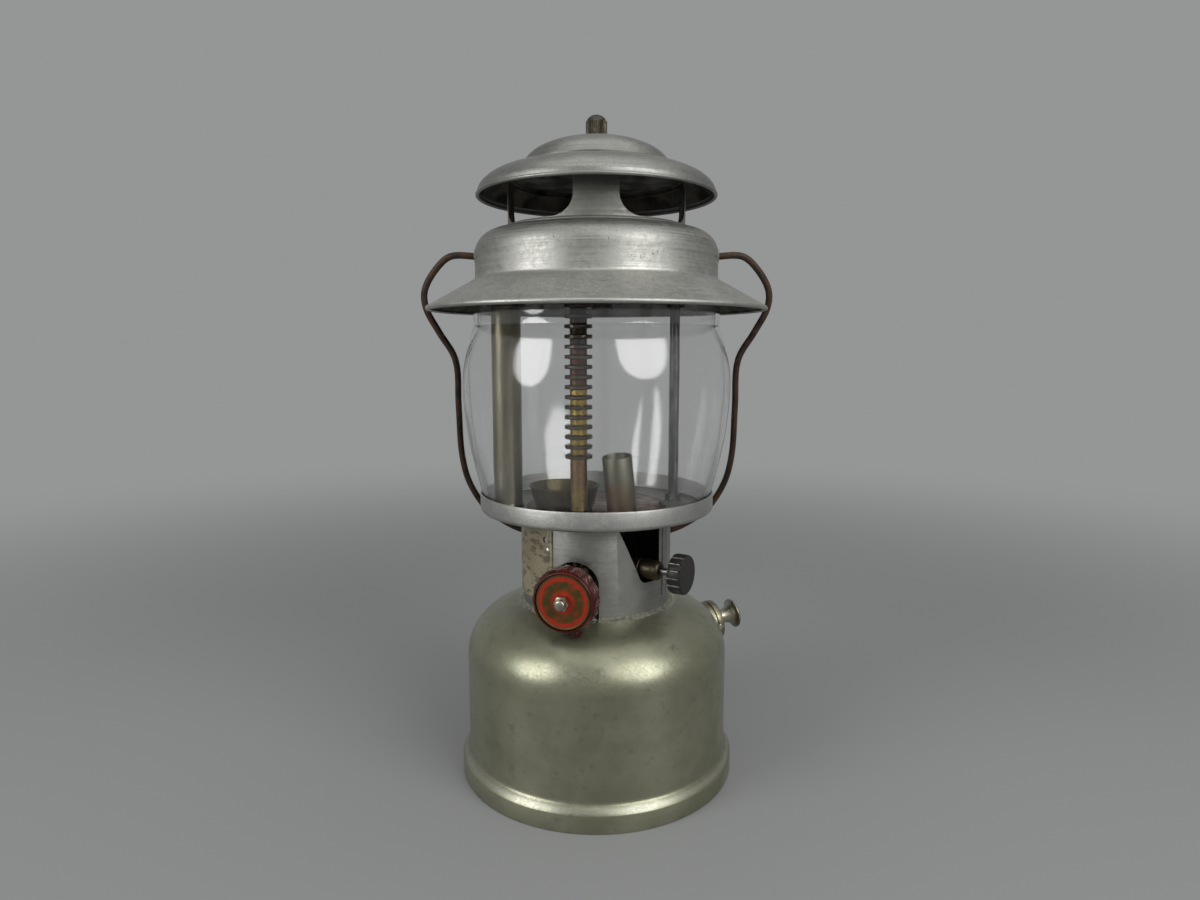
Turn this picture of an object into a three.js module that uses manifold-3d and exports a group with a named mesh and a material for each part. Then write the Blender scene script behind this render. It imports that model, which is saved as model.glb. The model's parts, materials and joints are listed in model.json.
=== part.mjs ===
// Kerosene pressure lantern: a fuel tank with pump, an upright collar with the valves, a glass globe
// round the generator and burner, and a spun hood with a chimney, a cap and a wire bail.
// Millimetres, +Z up, the origin under the centre of the base. The front, with the valve wheel, faces -Y.
import * as THREE from 'three';
import { mergeVertices } from 'three/addons/utils/BufferGeometryUtils.js';
import Module from 'manifold-3d';

const wasm = await Module();
wasm.setup();

// Driving dimensions
const gap = 0.3; // between neighbours that are cut to each other or run in each other
const overrun = 5; // how far a cutter runs past what it cuts
const sheet = 1; // thickness of the spun and drawn sheet metal

const tank = {
  flangeRadius: 79,
  flangeHeight: 10.2,
  chamferRadius: 75.9,
  chamferHeight: 13.5,
  radius: 75,
  wallTop: 70,
  crownRadius: 35,
  height: 100,
  footWidth: 3,
  panRadius: 70,
  panRise: 5,
};
const filler = {
  distance: 57,
  boreRadius: 7.5,
  neckRadius: 9,
  footRadius: 12,
  neckHeight: 8.9,
  gasket: 1.5,
  capRadius: 12.5,
  capSkirt: 3.4,
  capHeight: 10.9,
  flutes: 16,
  fluteDepth: 0.6,
};
const pump = {
  standOff: 4.2,
  rise: 3.8,
  turn: 22.9,
  tilt: 9.4,
  barrelRadius: 9.5,
  barrelLength: 86,
  capRadius: 12.3,
  capDepth: 9.7,
  capFace: 1.6,
  screwRadius: 1.6,
  screwLength: 3,
  screwDepth: 3.4,
  screws: 2,
  rodRadius: 2.2,
  knobNeckRadius: 3.6,
  knobRadius: 9,
  knobLength: 13.4,
  knobRim: 1.4,
  leatherLength: 6,
  checkValveLength: 7,
  checkValveRadius: 4,
};
const collar = {
  radius: 42.6,
  height: 52.7,
  lip: 6,
  archRadius: 13,
  archAzimuth: -16,
  archHeight: 18,
  windowLeftAzimuth: 14.5,
  windowFootAzimuth: 39.5,
  windowRightAzimuth: 54,
  windowCornerRadius: 5,
  windowRightCorner: 3,
  windowFoot: 17.3,
  windowTopMargin: 1.2,
  seamAzimuth: 61,
  seamWidth: 4,
  seamHeight: 0.6,
  seamFoot: 7,
};
const plate = {
  thickness: 0.6,
  rightAzimuth: -33.3,
  leftAzimuth: -110,
  foot: 6.7,
  topMargin: 0.7,
  cornerRadius: 5,
  holeRadius: 1.6,
  holeInset: 4.6,
  holeDrop: 11.3,
  rivetRadius: 1.2,
  rivetInset: 3.2,
  rivetDrop: 17.3,
  rivetHead: 0.6,
};
const gallery = {
  radius: 66.3,
  height: 10.5,
  floor: 1.3,
  bend: 1.5,
  plateRadius: 40,
  plateThickness: 0.8,
  screwCircle: 38,
  screwAngle: -5,
  screws: 3,
  screwHeadRadius: 2.2,
  screwHeadHeight: 1.8,
  screwRadius: 1.4,
  screwLength: 6,
};
const airTube = { x: -50.6, y: -3, radius: 8.25, wall: 1, footRadius: 8.95, footHeight: 1.5 };
const supportRod = { x: 45, y: 10, radius: 2.9, washerRadius: 5, washer: 1, nutRadius: 4.6, nut: 3.4 };
const generator = {
  x: -9.3,
  y: -35,
  radius: 4.5,
  boreRadius: 2.2,
  foot: 18,
  finRadius: 7.3,
  finFoot: 33.3,
  finPitch: 5.2,
  finThickness: 2.2,
  finCount: 16,
  footNutRadius: 6.9,
  footNut: 3.8,
  tipRadius: 3.2,
  tipHeight: 6,
  needleRadius: 0.6,
  blockRadius: 2.2,
  blockHeight: 5,
  blockFoot: 4,
};
const valve = {
  azimuth: -16,
  height: 15.8,
  bodyRadius: 7.5,
  bodyDepth: 10,
  bodyHeight: 28,
  boreRadius: 3,
  armRadius: 5.2,
  armReach: 8,
  nutRadius: 6.4,
  nutReach: 15,
  stemRadius: 2,
  pickupRadius: 2.6,
  pickupFoot: 9,
  pickupEntry: 7,
};
const wheel = {
  radius: 17.5,
  back: 17.6,
  thickness: 11,
  scallops: 16,
  scallopDepth: 1.1,
  faceRadius: 14.9,
  faceDepth: 2,
  faceThickness: 1.1,
  hubRadius: 6,
  rimWall: 3.2,
  pointerAngle: 19,
  pointerReach: 20.5,
  pointerWidth: 6,
  pointerThickness: 3,
  nutRadius: 4,
  nutHeight: 3,
  acornRadius: 3.1,
};
const torch = {
  valveX: 27.5,
  valveY: -31,
  height: 24.5,
  azimuth: 60,
  bodyBack: 18,
  bodyRadius: 6.2,
  bodyHeight: 31,
  armRadius: 4.4,
  nutStart: -8,
  nutEnd: 8.5,
  nutRadius: 5.25,
  stemRadius: 1.9,
  knobStart: 16,
  knobThickness: 8,
  knobRadius: 10.7,
  knobFlutes: 16,
  knobFluteDepth: 0.7,
  tubeRadius: 8,
  tubeWall: 0.9,
  tubeHeight: 34.1,
  footX: 14,
  footY: -29.5,
  topX: 10.8,
  topY: -33,
  feedRadius: 1.8,
  feedRise: 9,
};
const cup = { x: -18, y: -12, footRadius: 16, topRadius: 19.5, height: 13.2, wall: 0.8 };
const globe = {
  wall: 2.4,
  footRadius: 62.4,
  flareRadius: 66.4,
  flareHeight: 15.3,
  bowlRadius: 72.5,
  bowlHeight: 43.3,
  bellyRadius: 74.7,
  bellyHeight: 73.3,
  barrelRadius: 72.1,
  barrelHeight: 90.3,
  neckRadius: 68.4,
  neckHeight: 102.6,
  topRadius: 66.9,
};
const hood = {
  brimRadius: 93.8,
  brimRise: 112.2,
  beadRadius: 1.3,
  beadOuterAngles: [-60, 80],
  beadInnerAngles: [200, 240],
  drumRadius: 66.9,
  coneHeight: 15.8,
  shoulder: 12.5,
  drumHeight: 25.7,
  mouthRadius: 45,
};
const chimney = {
  radius: 48.7,
  footRadius: 53,
  windowSill: 1.6,
  windowTop: 26.5,
  legWidth: 23,
  cornerRadius: 10.5,
  headRadius: 5,
};
const cap = {
  rimRadius: 65.9,
  rimRise: 19,
  stepRadius: 40.3,
  skirtHeight: 14.8,
  skirtTurn: 80,
  domeHeight: 16.2,
};
const topNut = { radius: 5.8, height: 12.1, baseRadius: 5, flutes: 10, fluteDepth: 0.5, crown: 3 };
const stud = { radius: 2.4 };
const burner = {
  rise: 3.1,
  height: 10,
  hubRadius: 13,
  armWidth: 8,
  armHeight: 7,
  socketWall: 2.2,
  socketDepth: 2,
  nozzleRadius: 9,
  nozzleHeight: 3.2,
  nozzleBore: 6,
  studSeat: 5,
};
const bail = {
  wireRadius: 1.88,
  pivotHeight: 13.3,
  reach: 176,
  stubHeadRadius: 3.2,
  stubHead: 1.6,
  shoulderReach: 98,
  sideReach: 82.5,
};

// Fineness of the round surfaces
const sides = { large: 32, middle: 16, small: 10, wire: 7 };
const arcSteps = { tank: 5, tankInside: 2, globe: 8, hood: 3, cap: 3, wire: 36, flute: 4 };

// Levels that follow from the driving sizes, each from what carries it
const collarTop = tank.height + collar.height;
const galleryFloor = collarTop + gallery.floor;
const burnerFloor = galleryFloor + gallery.plateThickness;
const brimLevel = collarTop + hood.brimRise;
const coneTop = brimLevel + hood.coneHeight;
const drumTop = coneTop + hood.drumHeight;
const pivotLevel = coneTop + bail.pivotHeight;
const rimLevel = drumTop + cap.rimRise;
const stepLevel = rimLevel + cap.skirtHeight;
const domeTop = stepLevel + cap.domeHeight;
const burnerUnderside = brimLevel + burner.rise;
const socketTop = burnerUnderside + burner.socketDepth + burner.armHeight - sheet;
const valveFoot = tank.height - valve.bodyDepth;
const valveTop = tank.height + valve.bodyHeight;
const fillerTop = shoulderHeight(filler.distance) + filler.neckHeight;
const capFoot = fillerTop - filler.capSkirt;
const capTop = capFoot + filler.capHeight;
const degrees = THREE.MathUtils.degToRad;
const up = new THREE.Vector3(0, 0, 1);

// Meshes and solids

function flipped(index) {
  const turned = index.slice();
  for (let i = 0; i < turned.length; i += 3) [turned[i], turned[i + 1]] = [turned[i + 1], turned[i]];
  return turned;
}

// A closed solid whose faces point out, made from a closed geometry
function solid(geometry) {
  const bare = geometry.clone();
  bare.deleteAttribute('normal');
  bare.deleteAttribute('uv');
  const merged = mergeVertices(bare);
  const index = [];
  const all = merged.index.array;
  for (let i = 0; i < all.length; i += 3) {
    const [a, b, c] = [all[i], all[i + 1], all[i + 2]];
    if (a !== b && b !== c && c !== a) index.push(a, b, c);
  }
  const vertProperties = new Float32Array(merged.attributes.position.array);
  const made = (list) =>
    new wasm.Manifold(new wasm.Mesh({ numProp: 3, vertProperties, triVerts: new Uint32Array(list) }));
  const body = made(index);
  return body.volume() < 0 ? made(flipped(index)) : body;
}

function geometryOf(body) {
  const mesh = body.getMesh();
  const points = new Float32Array(mesh.numVert * 3);
  for (let i = 0; i < mesh.numVert; i++) {
    for (let k = 0; k < 3; k++) points[i * 3 + k] = mesh.vertProperties[i * mesh.numProp + k];
  }
  const geometry = new THREE.BufferGeometry();
  geometry.setAttribute('position', new THREE.BufferAttribute(points, 3));
  geometry.setIndex([...mesh.triVerts]);
  geometry.computeVertexNormals();
  return geometry;
}

function united(bodies) {
  return bodies.reduce((whole, body) => whole.add(body));
}

function cutBy(body, cutters) {
  return cutters.reduce((whole, cutter) => whole.subtract(cutter), body);
}

// A body of revolution about Z from [radius, height] points, closed on the axis or on itself
function revolve(profile, count = sides.large) {
  const points = profile.map(([r, z]) => new THREE.Vector2(r, z));
  const [first, last] = [profile[0], profile[profile.length - 1]];
  if (first[0] > 0 || last[0] > 0) points.push(points[0].clone());
  return new THREE.LatheGeometry(points, count).rotateX(Math.PI / 2);
}

function bar(radius, from, to, count = sides.middle) {
  return revolve([[0, from], [radius, from], [radius, to], [0, to]], count);
}

function pipe(outer, inner, from, to, count = sides.middle) {
  return revolve([[inner, from], [outer, from], [outer, to], [inner, to]], count);
}

function prism(shape, from, to) {
  return new THREE.ExtrudeGeometry(shape, { depth: to - from, bevelEnabled: false, curveSegments: 3 })
    .translate(0, 0, from);
}

function block(x, y, z, width, depth, height) {
  return new THREE.BoxGeometry(width, depth, height).translate(x, y, z);
}

function wire(curve, radius, steps, count = sides.wire) {
  const section = new THREE.Shape();
  for (let i = 0; i < count; i++) {
    const turn = (i / count) * 2 * Math.PI;
    const [x, y] = [radius * Math.cos(turn), radius * Math.sin(turn)];
    if (i === 0) section.moveTo(x, y);
    else section.lineTo(x, y);
  }
  section.closePath();
  return new THREE.ExtrudeGeometry(section, { steps, extrudePath: curve, bevelEnabled: false });
}

// Outlines

// A circle whose edge waves in and out, for grips
function fluted(radius, depth, count) {
  const shape = new THREE.Shape();
  const points = count * arcSteps.flute;
  for (let i = 0; i < points; i++) {
    const turn = (i / points) * 2 * Math.PI;
    const reach = radius - (depth * (1 - Math.cos(count * turn))) / 2;
    const [x, y] = [reach * Math.cos(turn), reach * Math.sin(turn)];
    if (i === 0) shape.moveTo(x, y);
    else shape.lineTo(x, y);
  }
  shape.closePath();
  return shape;
}

function hexagon(radius) {
  const corners = [0, 1, 2, 3, 4, 5].map((i) => {
    const turn = (i * Math.PI) / 3;
    return new THREE.Vector2(radius * Math.cos(turn), radius * Math.sin(turn));
  });
  return new THREE.Shape(corners);
}

// Part of an ellipse as [r, z] points, from one angle to the other
function arc(r, z, width, height, from, to, steps) {
  const points = [];
  for (let i = 0; i <= steps; i++) {
    const turn = degrees(from + ((to - from) * i) / steps);
    points.push([r + width * Math.cos(turn), z + height * Math.sin(turn)]);
  }
  return points;
}

// Places

// A frame whose local Z runs along a direction and whose local Y stays as upright as it can
function frameAt(origin, direction) {
  const z = direction.clone().normalize();
  const x = new THREE.Vector3().crossVectors(up, z).normalize();
  const y = new THREE.Vector3().crossVectors(z, x);
  return new THREE.Matrix4().makeBasis(x, y, z).setPosition(origin);
}

function azimuthDirection(azimuth) {
  return new THREE.Vector3(Math.sin(degrees(azimuth)), -Math.cos(degrees(azimuth)), 0);
}

const valveFrame = frameAt(
  new THREE.Vector3(generator.x, generator.y, tank.height + valve.height),
  azimuthDirection(valve.azimuth),
);
const torchFrame = frameAt(
  new THREE.Vector3(torch.valveX, torch.valveY, tank.height + torch.height),
  azimuthDirection(torch.azimuth),
);
const pumpSide = azimuthDirection(90 + pump.turn);
const pumpFrame = frameAt(
  pumpSide.clone().multiplyScalar(tank.radius + pump.standOff).setZ(tank.wallTop + pump.rise),
  pumpSide.clone().multiplyScalar(Math.cos(degrees(pump.tilt))).setZ(Math.sin(degrees(pump.tilt))),
);

// Finishes
const finish = {
  nickel: ['#8d8c78', 0.34, 0.9],
  brass: ['#8a7746', 0.4, 0.9],
  darkBrass: ['#5a4a2c', 0.5, 0.85],
  aluminium: ['#a3a4a1', 0.38, 0.95],
  steel: ['#6d6f6c', 0.5, 0.85],
  rustyWire: ['#6b4a33', 0.7, 0.6],
  casting: ['#3a352e', 0.75, 0.5],
  copper: ['#8a5a44', 0.45, 0.85],
  glass: ['#e8efee', 0.05, 0],
  paper: ['#a59c78', 0.7, 0.1],
  maroon: ['#6d1d1c', 0.35, 0],
  redPlate: ['#9a3a20', 0.45, 0.2],
  black: ['#1e1d1a', 0.35, 0],
  leather: ['#5b3a20', 0.8, 0],
  rubber: ['#2a2826', 0.85, 0],
};

const lantern = new THREE.Group();

function addPiece(name, body, look, parent = lantern) {
  const [color, roughness, metalness] = finish[look];
  const mesh = new THREE.Mesh(
    geometryOf(body),
    new THREE.MeshStandardMaterial({ color, roughness, metalness }),
  );
  mesh.name = name;
  parent.add(mesh);
}

function groupAt(frame) {
  const group = new THREE.Group();
  frame.decompose(group.position, group.quaternion, group.scale);
  lantern.add(group);
  return group;
}

// Tank

// The outside of the tank from the centre of its crown to its wall, grown all round by a margin
function crownProfile(margin, steps) {
  const width = tank.radius - tank.crownRadius + margin;
  const height = tank.height - tank.wallTop + margin;
  return [[0, tank.height + margin], ...arc(tank.crownRadius, tank.wallTop, width, height, 90, 0, steps)];
}

function shoulderHeight(radius) {
  const share = Math.min(1, Math.max(0, radius - tank.crownRadius) / (tank.radius - tank.crownRadius));
  return tank.wallTop + (tank.height - tank.wallTop) * Math.sqrt(1 - share * share);
}

// What a fitting on the tank must keep clear of
function tankBulk() {
  const crown = crownProfile(gap, arcSteps.tank);
  return solid(revolve([...crown, [tank.radius + gap, 0], [0, 0]]));
}

function fillerBore() {
  return solid(bar(filler.boreRadius, tank.wallTop, capTop).translate(0, filler.distance, 0));
}

function addTank() {
  const wallFoot = tank.chamferHeight + tank.radius - tank.chamferRadius + sheet;
  const outside = [
    ...crownProfile(0, arcSteps.tank),
    [tank.radius, wallFoot],
    [tank.chamferRadius, tank.chamferHeight],
    [tank.flangeRadius, tank.flangeHeight],
    [tank.flangeRadius, 0],
  ];
  const inside = [
    [tank.flangeRadius - tank.footWidth, 0],
    [tank.flangeRadius - tank.footWidth, sheet],
    [tank.flangeRadius - sheet, sheet],
    [tank.flangeRadius - sheet, tank.flangeHeight - sheet / 2],
    [tank.chamferRadius - sheet, tank.chamferHeight - sheet / 2],
    [tank.radius - sheet, wallFoot],
    ...crownProfile(-sheet, arcSteps.tankInside).reverse(),
  ];
  const cutters = [
    fillerBore(),
    solid(bar(pump.barrelRadius + gap, -pump.barrelLength, pump.capRadius).applyMatrix4(pumpFrame)),
    solid(bar(valve.bodyRadius + gap, valveFoot, valveTop).translate(generator.x, generator.y, 0)),
  ];
  addPiece('tank_shell', cutBy(solid(revolve([...outside, ...inside])), cutters), 'nickel');

  const rim = tank.flangeRadius - sheet - gap;
  const pan = [
    [0, sheet + tank.panRise],
    [tank.panRadius - sheet, sheet + tank.panRise],
    [tank.panRadius + sheet, sheet],
    [rim, sheet],
    [rim, 2 * sheet],
    [tank.panRadius + 2 * sheet, 2 * sheet],
    [tank.panRadius, 2 * sheet + tank.panRise],
    [0, 2 * sheet + tank.panRise],
  ];
  addPiece('tank_bottom', solid(revolve(pan)), 'steel');
}

// Filler at the back of the shoulder: neck, gasket and screw cap
function addFiller() {
  const neckOutline = [
    [filler.boreRadius, tank.wallTop],
    [filler.footRadius, tank.wallTop],
    [filler.footRadius, shoulderHeight(filler.distance)],
    [filler.neckRadius, capFoot - gap],
    [filler.neckRadius, fillerTop],
    [filler.boreRadius, fillerTop],
  ];
  const neck = solid(revolve(neckOutline, sides.middle).translate(0, filler.distance, 0));
  addPiece('filler_neck', neck.subtract(tankBulk()), 'brass');

  const seat = fillerTop + filler.gasket;
  const gasket = pipe(filler.neckRadius - gap, filler.boreRadius, fillerTop, seat);
  addPiece('filler_gasket', solid(gasket.translate(0, filler.distance, 0)), 'rubber');

  const capShape = fluted(filler.capRadius, filler.fluteDepth, filler.flutes);
  const body = prism(capShape, capFoot, capTop).translate(0, filler.distance, 0);
  const hollow = bar(filler.neckRadius + gap, capFoot - overrun, seat).translate(0, filler.distance, 0);
  addPiece('filler_cap', solid(body).subtract(solid(hollow)), 'nickel');
}

// Pump, square to the tank's surface at the right of its shoulder, so that it slopes a little inwards
function addPump() {
  const group = groupAt(pumpFrame);
  const capBase = pump.capFace - pump.capDepth;
  const barrelTop = pump.capFace - pump.rodRadius - gap;
  const barrelFoot = -pump.barrelLength;
  const toPump = pumpFrame.clone().invert();
  const tankHere = solid(geometryOf(tankBulk()).applyMatrix4(toPump));

  const barrel = pipe(pump.barrelRadius, pump.barrelRadius - sheet, barrelFoot, barrelTop);
  addPiece('pump_barrel', solid(barrel), 'brass', group);

  const checkFoot = barrelFoot - gap - pump.checkValveLength;
  const check = [
    [0, checkFoot],
    [pump.checkValveRadius, checkFoot],
    [pump.checkValveRadius, barrelFoot - gap - 2 * sheet],
    [pump.barrelRadius, barrelFoot - gap - 2 * sheet],
    [pump.barrelRadius, barrelFoot - gap],
    [0, barrelFoot - gap],
  ];
  addPiece('pump_check_valve', solid(revolve(check, sides.small)), 'brass', group);

  const ring = [
    [pump.rodRadius + gap, barrelTop + gap],
    [pump.barrelRadius + gap, barrelTop + gap],
    [pump.barrelRadius + gap, capBase],
    [pump.capRadius, capBase],
    [pump.capRadius, pump.capFace - sheet / 2],
    [pump.capRadius - sheet / 2, pump.capFace],
    [pump.rodRadius + gap, pump.capFace],
  ];
  const screwHoles = pumpScrews(gap);
  addPiece('pump_cap', cutBy(solid(revolve(ring)), [tankHere, ...screwHoles]), 'nickel', group);
  pumpScrews(0).forEach((screw, i) => addPiece(`pump_cap_screw_${i + 1}`, screw, 'nickel', group));

  const knobFoot = pump.capFace + gap;
  const knobTop = knobFoot + pump.knobLength;
  const knob = [
    [pump.rodRadius, knobFoot],
    [pump.knobNeckRadius, knobFoot],
    ...arc(pump.knobRadius, knobFoot, pump.knobRadius - pump.knobNeckRadius, pump.knobLength - pump.knobRim,
      180, 90, arcSteps.cap),
    [pump.knobRadius, knobTop],
    [0, knobTop],
    [0, knobTop - pump.knobRim],
    [pump.rodRadius, knobTop - pump.knobRim],
  ];
  addPiece('pump_knob', solid(revolve(knob, sides.middle)), 'nickel', group);

  const leatherFoot = barrelFoot + sheet + gap;
  const leatherTop = leatherFoot + pump.leatherLength;
  const rodTop = knobTop - pump.knobRim - gap;
  addPiece('pump_rod', solid(bar(pump.rodRadius - gap, leatherFoot, rodTop, sides.small)), 'steel', group);
  const leather = [
    [pump.rodRadius, leatherFoot],
    [pump.barrelRadius - sheet - gap, leatherFoot],
    [pump.barrelRadius - sheet - gap, leatherTop],
    [pump.barrelRadius - 2 * sheet - gap, leatherTop],
    [pump.barrelRadius - 2 * sheet - gap, leatherFoot + 2 * sheet],
    [pump.rodRadius, leatherFoot + 2 * sheet],
  ];
  addPiece('pump_leather', solid(revolve(leather, sides.small)), 'leather', group);
}

// The small screws that hold the pump's cap, laid radially, with a margin when they cut their holes
function pumpScrews(margin) {
  const outer = pump.capRadius + pump.screwLength / 3;
  const inner = pump.barrelRadius + sheet - margin;
  const middle = pump.capFace - pump.screwDepth;
  const screws = [];
  for (let i = 0; i < pump.screws; i++) {
    const turn = Math.PI + (i * 2 * Math.PI) / pump.screws;
    const screw = bar(pump.screwRadius + margin, inner, outer + margin, sides.wire);
    screws.push(solid(screw.rotateY(Math.PI / 2).translate(0, 0, middle).rotateZ(turn)));
  }
  return screws;
}

// Collar and instruction plate

// The outline of a cut-out seen square on from its middle azimuth: an azimuth becomes a width
function chord(azimuth, middle) {
  return collar.radius * Math.sin(degrees(azimuth - middle));
}

// A prism that runs from the lantern's axis out through the collar at an azimuth
function radialPrism(shape, azimuth) {
  const reach = collar.radius + overrun;
  return solid(prism(shape, 0, reach).applyMatrix4(frameAt(new THREE.Vector3(), azimuthDirection(azimuth))));
}

function archCut() {
  const archTop = tank.height + collar.archHeight;
  const shape = new THREE.Shape();
  shape.moveTo(-collar.archRadius, tank.wallTop);
  shape.lineTo(collar.archRadius, tank.wallTop);
  shape.lineTo(collar.archRadius, archTop);
  shape.absarc(0, archTop, collar.archRadius, 0, Math.PI);
  shape.closePath();
  return radialPrism(shape, collar.archAzimuth);
}

function windowCut() {
  const middle = (collar.windowLeftAzimuth + collar.windowRightAzimuth) / 2;
  const [left, right] = [chord(collar.windowLeftAzimuth, middle), chord(collar.windowRightAzimuth, middle)];
  const top = collarTop - sheet - collar.windowTopMargin;
  const radius = collar.windowCornerRadius;
  const small = collar.windowRightCorner;
  const foot = tank.height + collar.windowFoot;
  const [x, z] = [chord(collar.windowFootAzimuth, middle), foot + radius];
  const slant = Math.atan2(x - left, top - z) - Math.asin(radius / Math.hypot(x - left, top - z));
  const shape = new THREE.Shape();
  shape.moveTo(right, top);
  shape.lineTo(left, top);
  shape.absarc(x, z, radius, Math.PI + slant, 1.5 * Math.PI);
  shape.absarc(right - small, foot + small, small, 1.5 * Math.PI, 2 * Math.PI);
  shape.closePath();
  return radialPrism(shape, middle);
}

function addCollar() {
  const inner = collar.radius - sheet;
  const foot = shoulderHeight(inner) + gap;
  const lip = inner - collar.lip;
  const tube = [
    [inner, foot],
    [collar.radius, foot],
    [collar.radius, collarTop],
    [lip, collarTop],
    [lip, collarTop - sheet],
    [inner, collarTop - sheet],
  ];
  const seamFoot = tank.height + collar.seamFoot;
  const seam = block(0, 0, (seamFoot + collarTop) / 2,
    collar.seamWidth, 2 * collar.seamHeight, collarTop - seamFoot);
  seam.translate(0, -collar.radius, 0).rotateZ(degrees(collar.seamAzimuth));
  const wall = solid(revolve(tube)).add(solid(seam));
  addPiece('frame_collar', cutBy(wall, [archCut(), windowCut(), ...floorHoles()]), 'aluminium');
}

function plateShell() {
  return solid(pipe(collar.radius + gap + plate.thickness, collar.radius + gap,
    tank.height, collarTop + overrun, sides.large));
}

function addPlate() {
  const middle = (plate.rightAzimuth + plate.leftAzimuth) / 2;
  const half = (collar.radius + gap) * Math.sin(degrees((plate.rightAzimuth - plate.leftAzimuth) / 2));
  const top = collarTop - plate.topMargin;
  const corner = plate.cornerRadius;
  const low = tank.height + plate.foot + corner;
  const shape = new THREE.Shape();
  shape.moveTo(half, top);
  shape.lineTo(-half, top);
  shape.lineTo(-half, low);
  shape.absarc(-half + corner, low, corner, Math.PI, 1.5 * Math.PI);
  shape.absarc(half - corner, low, corner, 1.5 * Math.PI, 2 * Math.PI);
  shape.closePath();
  const sheetShape = plateShell().intersect(radialPrism(shape, middle));
  const hole = plateSpot(plate.holeInset, plate.holeDrop, plate.holeRadius, 0, overrun);
  addPiece('instruction_plate', cutBy(sheetShape, [hole, ...plateRivets(gap)]), 'paper');
  plateRivets(0).forEach((rivet, i) => addPiece(`plate_rivet_${i + 1}`, rivet, 'nickel'));
}

// A radial pin through the plate, placed from its right or its left edge and from its top
function plateSpot(inset, drop, radius, from, to, edge = 1) {
  const turn = (inset / collar.radius) * (180 / Math.PI);
  const azimuth = edge > 0 ? plate.rightAzimuth - turn : plate.leftAzimuth + turn;
  const start = collar.radius + gap + from;
  const pin = bar(radius, start, start + to, sides.wire);
  const origin = new THREE.Vector3(0, 0, collarTop - drop);
  return solid(pin.applyMatrix4(frameAt(origin, azimuthDirection(azimuth))));
}

function plateRivets(margin) {
  const reach = plate.thickness + plate.rivetHead + 2 * margin;
  return [1, -1].map((edge) =>
    plateSpot(plate.rivetInset, plate.rivetDrop, plate.rivetRadius + margin, -margin, reach, edge));
}

// Gallery, the ring that carries the globe, with the inner floor plate and its screws

function galleryScrews(margin) {
  const screws = [];
  for (let i = 0; i < gallery.screws; i++) {
    const turn = degrees(gallery.screwAngle + (i * 360) / gallery.screws);
    const under = burnerFloor + gap;
    const profile = [
      [0, under - gallery.screwLength - margin],
      [gallery.screwRadius + margin, under - gallery.screwLength - margin],
      [gallery.screwRadius + margin, under],
      [gallery.screwHeadRadius, under],
      [gallery.screwHeadRadius, under + gallery.screwHeadHeight],
      [0, under + gallery.screwHeadHeight],
    ];
    screws.push(solid(revolve(profile, sides.wire)
      .translate(gallery.screwCircle * Math.cos(turn), gallery.screwCircle * Math.sin(turn), 0)));
  }
  return screws;
}

// The holes in the floor for the tubes that stand in it
function floorHole(x, y, radius) {
  return solid(bar(radius, collarTop - overrun, burnerFloor + overrun).translate(x, y, 0));
}

function floorHoles() {
  return [
    floorHole(airTube.x, airTube.y, airTube.radius - airTube.wall),
    floorHole(supportRod.x, supportRod.y, supportRod.radius + gap),
    floorHole(generator.x, generator.y, generator.radius + gap),
    floorHole(torch.footX, torch.footY, torch.tubeRadius - torch.tubeWall - 2 * gap),
    ...galleryScrews(gap),
  ];
}

function addGallery() {
  const [outer, inner] = [gallery.radius, gallery.radius - sheet];
  const top = collarTop + gallery.height;
  const profile = [
    [0, collarTop],
    [outer - gallery.bend, collarTop],
    [outer, collarTop + gallery.bend],
    [outer, top - sheet / 2],
    [outer - sheet / 2, top],
    [inner, top - sheet / 2],
    [inner, galleryFloor],
    [0, galleryFloor],
  ];
  addPiece('gallery', cutBy(solid(revolve(profile)), floorHoles()), 'aluminium');
  const disc = solid(bar(gallery.plateRadius, galleryFloor, burnerFloor, sides.large));
  addPiece('floor_plate', cutBy(disc, floorHoles()), 'copper');
  galleryScrews(0).forEach((screw, i) => addPiece(`gallery_screw_${i + 1}`, screw, 'steel'));
}

// Uprights inside the globe

function addUprights() {
  const tube = [
    [airTube.radius - airTube.wall, galleryFloor],
    [airTube.footRadius, galleryFloor],
    [airTube.footRadius, galleryFloor + airTube.footHeight],
    [airTube.radius, galleryFloor + airTube.footHeight],
    [airTube.radius, socketTop - gap],
    [airTube.radius - airTube.wall, socketTop - gap],
  ];
  addPiece('air_tube', solid(revolve(tube, sides.middle).translate(airTube.x, airTube.y, 0)), 'nickel');
  const rod = bar(supportRod.radius, collarTop, socketTop - gap, sides.small);
  addPiece('support_rod', solid(rod.translate(supportRod.x, supportRod.y, 0)), 'steel');
  const bore = supportRod.radius + gap;
  const washer = pipe(supportRod.washerRadius, bore, galleryFloor, galleryFloor + supportRod.washer);
  addPiece('rod_foot_washer', solid(washer.translate(supportRod.x, supportRod.y, 0)), 'steel');
  const nutFoot = galleryFloor + supportRod.washer;
  const nut = solid(prism(hexagon(supportRod.nutRadius), nutFoot, nutFoot + supportRod.nut)
    .translate(supportRod.x, supportRod.y, 0));
  const nutBore = solid(bar(bore, nutFoot - overrun, nutFoot + supportRod.nut + overrun, sides.small)
    .translate(supportRod.x, supportRod.y, 0));
  addPiece('rod_foot_nut', nut.subtract(nutBore), 'steel');
}

// Generator with its fins, nuts, gas tip and cleaning needle, over the fuel valve

function atGenerator(geometry) {
  return solid(geometry.translate(generator.x, generator.y, 0));
}

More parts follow.
